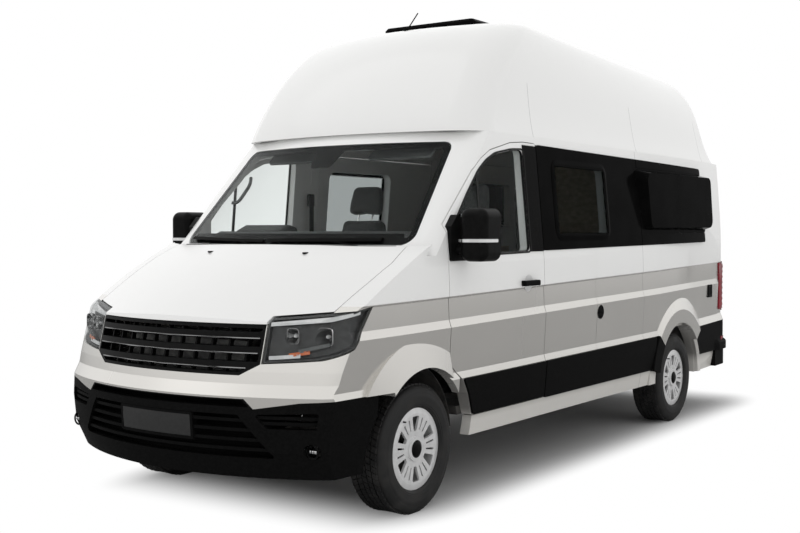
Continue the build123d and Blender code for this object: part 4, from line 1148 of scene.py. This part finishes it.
class VAN_OT_sides(bpy.types.Operator):
    """Filler cap, service port, window frames, pressed rear quarters, sliding door's handle and rail"""
    bl_idname = "van.sides"
    bl_label = "Sides"

    def execute(self, context):
        left = ["side_panel_left"]
        spot = landing(left, (-0.17, FLANK_Y, 0.96), ON_LEFT)
        bm = bmesh.new()
        spun(bm, [(0, 0.006), (0.034, 0.006), (0.038, 0.003), (0.0405, 0.0035), (0.0445, 0.005),
                  (0.0480, 0.003), (0.0485, -0.004), (0, -0.004)], spot, (0, 1, 0), 48)
        block(bm, spot + Vector((-0.026, 0.003, -0.005)), spot + Vector((0.026, 0.011, 0.005)), 0.002)
        make("filler_cap", bm, "black_plastic", "body", "black_plastic")
        port = flank(rect(-2.485, 0.952, -2.375, 1.060), 1)
        patch("service_port", port, 0.010, left, ON_LEFT, 0.0005, 0.015, "black_plastic", "body",
              "black_plastic", 0.04)
        lid = flank(rect(-2.470, 0.966, -2.390, 1.046), 1)
        band("service_port_rim", lid, 0.008, 0.006, left, ON_LEFT, 0.014, 0.004, "satin_black", "body",
             "black_plastic")
        for side, sign in SIDES:
            ray = (0, -sign, 0)
            rim = flank([(-0.372, 1.455), (0.457, 1.451), (0.457, 1.977), (-0.372, 1.982)], sign)
            band("window_frame_" + side, rim, 0.080, 0.030, ["side_glazing"], ray, -0.001, 0.0035,
                 "black_gloss", "body", "black_gloss")
            edge = flank(rect(0.6255, 1.393, 0.6345, 2.055), sign)
            patch("band_edge_" + side, edge, 0.0, ["side_panel_" + side], ray, 0.0004, 0.0055, "black_gloss",
                  "body", "black_gloss", 0.2)
            base = flank([(-0.835, 1.985), (-2.262, 1.990), (-2.335, 1.500), (-0.950, 1.495)], sign)
            band("pod_surround_" + side, base, 0.040, 0.042, ["side_panel_" + side, "sliding_door"], ray,
                 0.0004, 0.002, "black_gloss", "body", "black_gloss")
        pressings = [("quarter_left", "side_panel_left", 1, -0.12, -2.78),
                     ("quarter_right", "side_panel_right", -1, -0.92, -2.78),
                     ("slide_skin", "sliding_door", -1, -0.12, -0.906)]
        for name, panel, sign, front, back in pressings:
            make(name, pressed_side([panel], sign, front, back), "body_paint", "body", "body_paint", 8)
        crown = [(0.438, 0.930), (0.438, 1.024), (0.443, 1.028), (0.545, 1.028), (0.655, 0.984),
                 (0.665, 0.955), (0.665, 0.930)]
        heel = [(0.438, 0.930), (0.438, 0.996), (0.443, 1.000), (0.492, 1.000), (0.497, 0.996),
                (0.497, 0.930)]
        lip = [(0.438, 0.930), (0.438, 1.026), (0.443, 1.030), (0.566, 1.030), (0.571, 1.026), (0.571, 0.930)]
        arches = [("rear_flare_", crown, 40, 140, "body_paint"), ("rear_heel_", heel, 140, 179, "body_paint"),
                  ("rear_lip_", lip, 11, 40, "black_plastic")]
        for side, sign in SIDES:
            for piece, section, start, end, look in arches:
                make(piece + side, arch_ring(section, sign, start, end), look, "body", look, 20)
            ray = (0, -sign, 0)
            corner = flank([(-2.870, 0.490), (-2.135, 0.490), (-2.075, 0.620), (-2.010, 0.722),
                            (-2.870, 0.742)], sign)
            panel = ["side_panel_" + side]
            patch("bumper_side_" + side, corner, 0.012, panel + ["rear_bumper"], ray, 0.0004, 0.024,
                  "black_plastic", "body", "black_plastic", 0.05)
            make("rear_ledge_" + side, ledge(panel, sign), "body_paint", "body", "body_paint", 8)
            lens = flank(rect(-2.860, 0.835, -2.680, 1.240), sign)
            mark = flank(rect(-2.790, 0.560, -2.690, 0.602), sign)
            patch("rear_marker_" + side, mark, 0.006, panel, ray, 0.0240, 0.004, "red_lens", "body",
                  "red_lens", 0.04)
            patch("tail_side_" + side, lens, 0.012, panel + ["tail_lamps"], ray, 0.0004, 0.010, "red_lens",
                  "body", "red_lens", 0.04)
        rail = flank([(-2.20, 1.268), (-0.95, 1.242), (-0.95, 1.278), (-2.20, 1.304)], -1)
        patch("slide_rail", rail, 0.010, ["side_panel_right"], ON_RIGHT, 0.0005, 0.006, "black_plastic",
              "body", "black_plastic", 0.1)
        spot = landing(["sliding_door"], (0.43, -FLANK_Y, 1.196), ON_RIGHT)
        bm = bmesh.new()
        block(bm, spot + Vector((-0.10, -0.036, -0.017)), spot + Vector((0.06, -0.024, 0.017)), 0.005)
        for dx in (-0.09, 0.05):
            foot = spot + Vector((dx, 0, 0))
            block(bm, foot + Vector((-0.010, -0.030, -0.015)), foot + Vector((0.010, 0.004, 0.015)), 0.004)
        make("slide_handle", bm, "black_plastic", "body", "black_plastic")
        return {"FINISHED"}


class VAN_OT_rear(bpy.types.Operator):
    """Rear window seals, handle, blank plate, lamp lenses and reflectors"""
    bl_idname = "van.rear"
    bl_label = "Rear"

    def execute(self, context):
        lamps = ["tail_lamps"]
        bumper = ["rear_bumper"]
        lenses = [
            ("reverse_lamp_", rect(0.822, 0.860, 0.885, 0.925), 0.008, lamps, 0.002, "white_lens", 0.03),
            ("turn_lamp_", rect(0.822, 0.945, 0.885, 1.010), 0.008, lamps, 0.002, "amber_lens", 0.03),
            ("rear_reflector_", rect(0.52, 0.455, 0.72, 0.490), 0.006, bumper, 0.004, "red_lens", 0.05),
        ]
        for side, sign in SIDES:
            door = "rear_door_" + side
            rim = crosswise(rect(0.139, 1.319, 0.701, 1.911), TAIL_X, sign)
            band("rear_seal_" + side, rim, 0.066, 0.010, [door], ON_TAIL, -0.002, 0.005, "rubber", door,
                 "black_plastic")
            for piece, form, radius, nodes, thick, look, fine in lenses:
                patch(piece + side, crosswise(form, TAIL_X, sign), radius, nodes, ON_TAIL, -0.0005, thick,
                      look, "body", "red_lens", fine)
        left = ["rear_door_left"]
        plate = crosswise(rect(0.12, 0.86, 0.64, 0.972), TAIL_X)
        patch("rear_plate", plate, 0.010, left, ON_TAIL, 0.004, 0.002, "plate", "rear_door_left",
              "black_plastic", 0.06)
        edge = crosswise(rect(0.110, 0.85, 0.650, 0.982), TAIL_X)
        band("rear_plate_holder", edge, 0.012, 0.014, left, ON_TAIL, 0.0005, 0.008, "black_plastic",
             "rear_door_left", "black_plastic")
        spot = landing(["rear_door_right"], (TAIL_X, -0.10, 1.10), ON_TAIL)
        bm = bmesh.new()
        block(bm, spot + Vector((-0.040, -0.085, -0.017)), spot + Vector((-0.026, 0.085, 0.017)), 0.005)
        for dy in (-0.075, 0.075):
            block(bm, spot + Vector((-0.032, dy - 0.010, -0.015)), spot + Vector((0.004, dy + 0.010, 0.015)),
                  0.004)
        make("rear_handle", bm, "black_plastic", "rear_door_right", "black_plastic")
        stop = crosswise(rect(-0.150, 2.150, 0.150, 2.178), TAIL_X)
        patch("high_stop_lamp", stop, 0.008, ["high_roof"], ON_TAIL, -0.001, 0.010, "red_lens", "body",
              "red_lens", 0.05)
        return {"FINISHED"}


class VAN_OT_under(bpy.types.Operator):
    """Exhaust"""
    bl_idname = "van.under"
    bl_label = "Underside"

    def execute(self, context):
        bm = bmesh.new()
        pipe(bm, [(1.75, -0.30, 0.36), (1.20, -0.52, 0.36), (0.70, -0.56, 0.36), (0.35, -0.56, 0.36)], 0.028)
        spun(bm, [(0, 0.0), (0.060, 0.0), (0.074, 0.012), (0.078, 0.030), (0.078, 0.560), (0.074, 0.578),
                  (0.060, 0.590), (0, 0.590)], (0.40, -0.56, 0.36), (-1, 0, 0), 32)
        pipe(bm, [(-0.17, -0.56, 0.36), (-0.60, -0.56, 0.36), (-1.00, -0.53, 0.34), (-1.15, -0.62, 0.31),
                  (-1.19, -0.72, 0.30)], 0.026)
        make("exhaust", bm, "cast_metal", "body", "running_gear")
        return {"FINISHED"}


class VAN_OT_stage(bpy.types.Operator):
    """Pale floor with a painted shadow round the van, soft light and the camera"""
    bl_idname = "van.stage"
    bl_label = "Stage"

    def execute(self, context):
        scene = context.scene
        light = scene.van_stage
        scene.view_settings.view_transform = "Standard"
        bm = bmesh.new()
        bmesh.ops.create_grid(bm, x_segments=8, y_segments=8, size=60)
        mesh = meshed("floor", bm)
        floor = added("floor", mesh)
        material = bpy.data.materials.new("floor_with_painted_shadow")
        material.use_nodes = True
        tree = material.node_tree
        shader = tree.nodes["Principled BSDF"]
        shader.inputs["Roughness"].default_value = 0.9
        shader.inputs[SHINE].default_value = 0.0
        shader.inputs["Base Color"].default_value = (0.92, 0.92, 0.92, 1)
        place = spot_in(tree)
        # Distance from the van's footprint: near it the floor carries a painted shadow, farther out it turns
        # into plain white backdrop.
        along = place.part(0).math("ABSOLUTE", place.part(0) + 0.45) - 2.2
        across = place.part(1).math("ABSOLUTE", place.part(1)) - 0.8
        along = along.math("MAXIMUM", along, 0.0) * 0.5
        across = across.math("MAXIMUM", across, 0.0)
        reach = along.math("SQRT", along * along + across * across)
        seen, glossy = rays(tree)
        backdrop_beyond_painted_shadow = reach.over(0.0, 0.45) * seen
        # Emission that is white on the open floor and black near the van, where it paints the shadow seen by
        # the camera; reflections see the floor partly black, a painted shade.
        glow = place.node("ShaderNodeEmission", {},
                          {"Color": backdrop_beyond_painted_shadow.tint((0, 0, 0), (1, 1, 1)), "Strength": 1.0})
        cover = (0.4 * seen + 0.6 * backdrop_beyond_painted_shadow) + 0.6 * glossy
        surface(tree, cover, Wire(tree, shader.outputs[0]), glow)
        mesh.materials.append(material)

        world = bpy.data.worlds.new("studio")
        scene.world = world
        world.use_nodes = True
        tree = world.node_tree
        seen, glossy = rays(tree)
        aim = Wire(tree, tree.nodes.new("ShaderNodeTexCoord").outputs["Generated"])
        softbox = 0.55 + 0.70 * aim.part(2).over(-0.10, 0.30)
        around = light.sky + glossy * (softbox - light.sky)
        strength = around + seen.over(0, 1) * (1 - around)
        back = tree.nodes["Background"]
        back.inputs["Color"].default_value = (1, 1, 1, 1)
        tree.links.new(strength.socket, back.inputs["Strength"])

        lamp = bpy.data.lights.new("key", "SUN")
        lamp.energy = light.key
        lamp.angle = math.radians(50)
        key = added("key", lamp)
        key.rotation_euler = KEY_AIM.to_track_quat("-Z", "Y").to_euler()

        camera = bpy.data.cameras.new("camera")
        camera.lens = light.lens
        camera.clip_end = 200
        eye = added("camera", camera)
        eye.location = EYE
        turn = math.radians(EYE_TURN)
        drop = math.radians(EYE_DROP)
        look = Vector((-math.sin(turn) * math.cos(drop), math.cos(turn) * math.cos(drop), -math.sin(drop)))
        eye.rotation_euler = look.to_track_quat("-Z", "Y").to_euler()
        scene.camera = eye
        return {"FINISHED"}


PIECES = [VAN_OT_paintwork, VAN_OT_tyres, VAN_OT_wheel_trims, VAN_OT_lamps, VAN_OT_front, VAN_OT_screen,
          VAN_OT_seats, VAN_OT_cabin, VAN_OT_doors, VAN_OT_sides, VAN_OT_rear, VAN_OT_under]


class VAN_PT_sidebar(bpy.types.Panel):
    """Lists the steps that dress the van"""
    bl_label = "Camper van"
    bl_space_type = "VIEW_3D"
    bl_region_type = "UI"
    bl_category = "Van"

    def draw(self, context):
        for group in ("van_paint", "van_trim", "van_stage"):
            settings = getattr(context.scene, group)
            column = self.layout.column()
            for key in settings.__annotations__:
                column.prop(settings, key)
        for step in PIECES + [VAN_OT_stage]:
            self.layout.operator(step.bl_idname)


CLASSES = [VanPaint, VanTrim, VanStage, *PIECES, VAN_OT_stage, VAN_PT_sidebar]


def register():
    for c in CLASSES:
        bpy.utils.register_class(c)
    bpy.types.Scene.van_paint = bpy.props.PointerProperty(type=VanPaint)
    bpy.types.Scene.van_trim = bpy.props.PointerProperty(type=VanTrim)
    bpy.types.Scene.van_stage = bpy.props.PointerProperty(type=VanStage)


def unregister():
    for key in ("van_paint", "van_trim", "van_stage"):
        delattr(bpy.types.Scene, key)
    for c in reversed(CLASSES):
        bpy.utils.unregister_class(c)


def main():
    register()
    for step in PIECES + [VAN_OT_stage]:
        group, name = step.bl_idname.split(".")
        getattr(getattr(bpy.ops, group), name)()


if __name__ == "__main__":
    main()
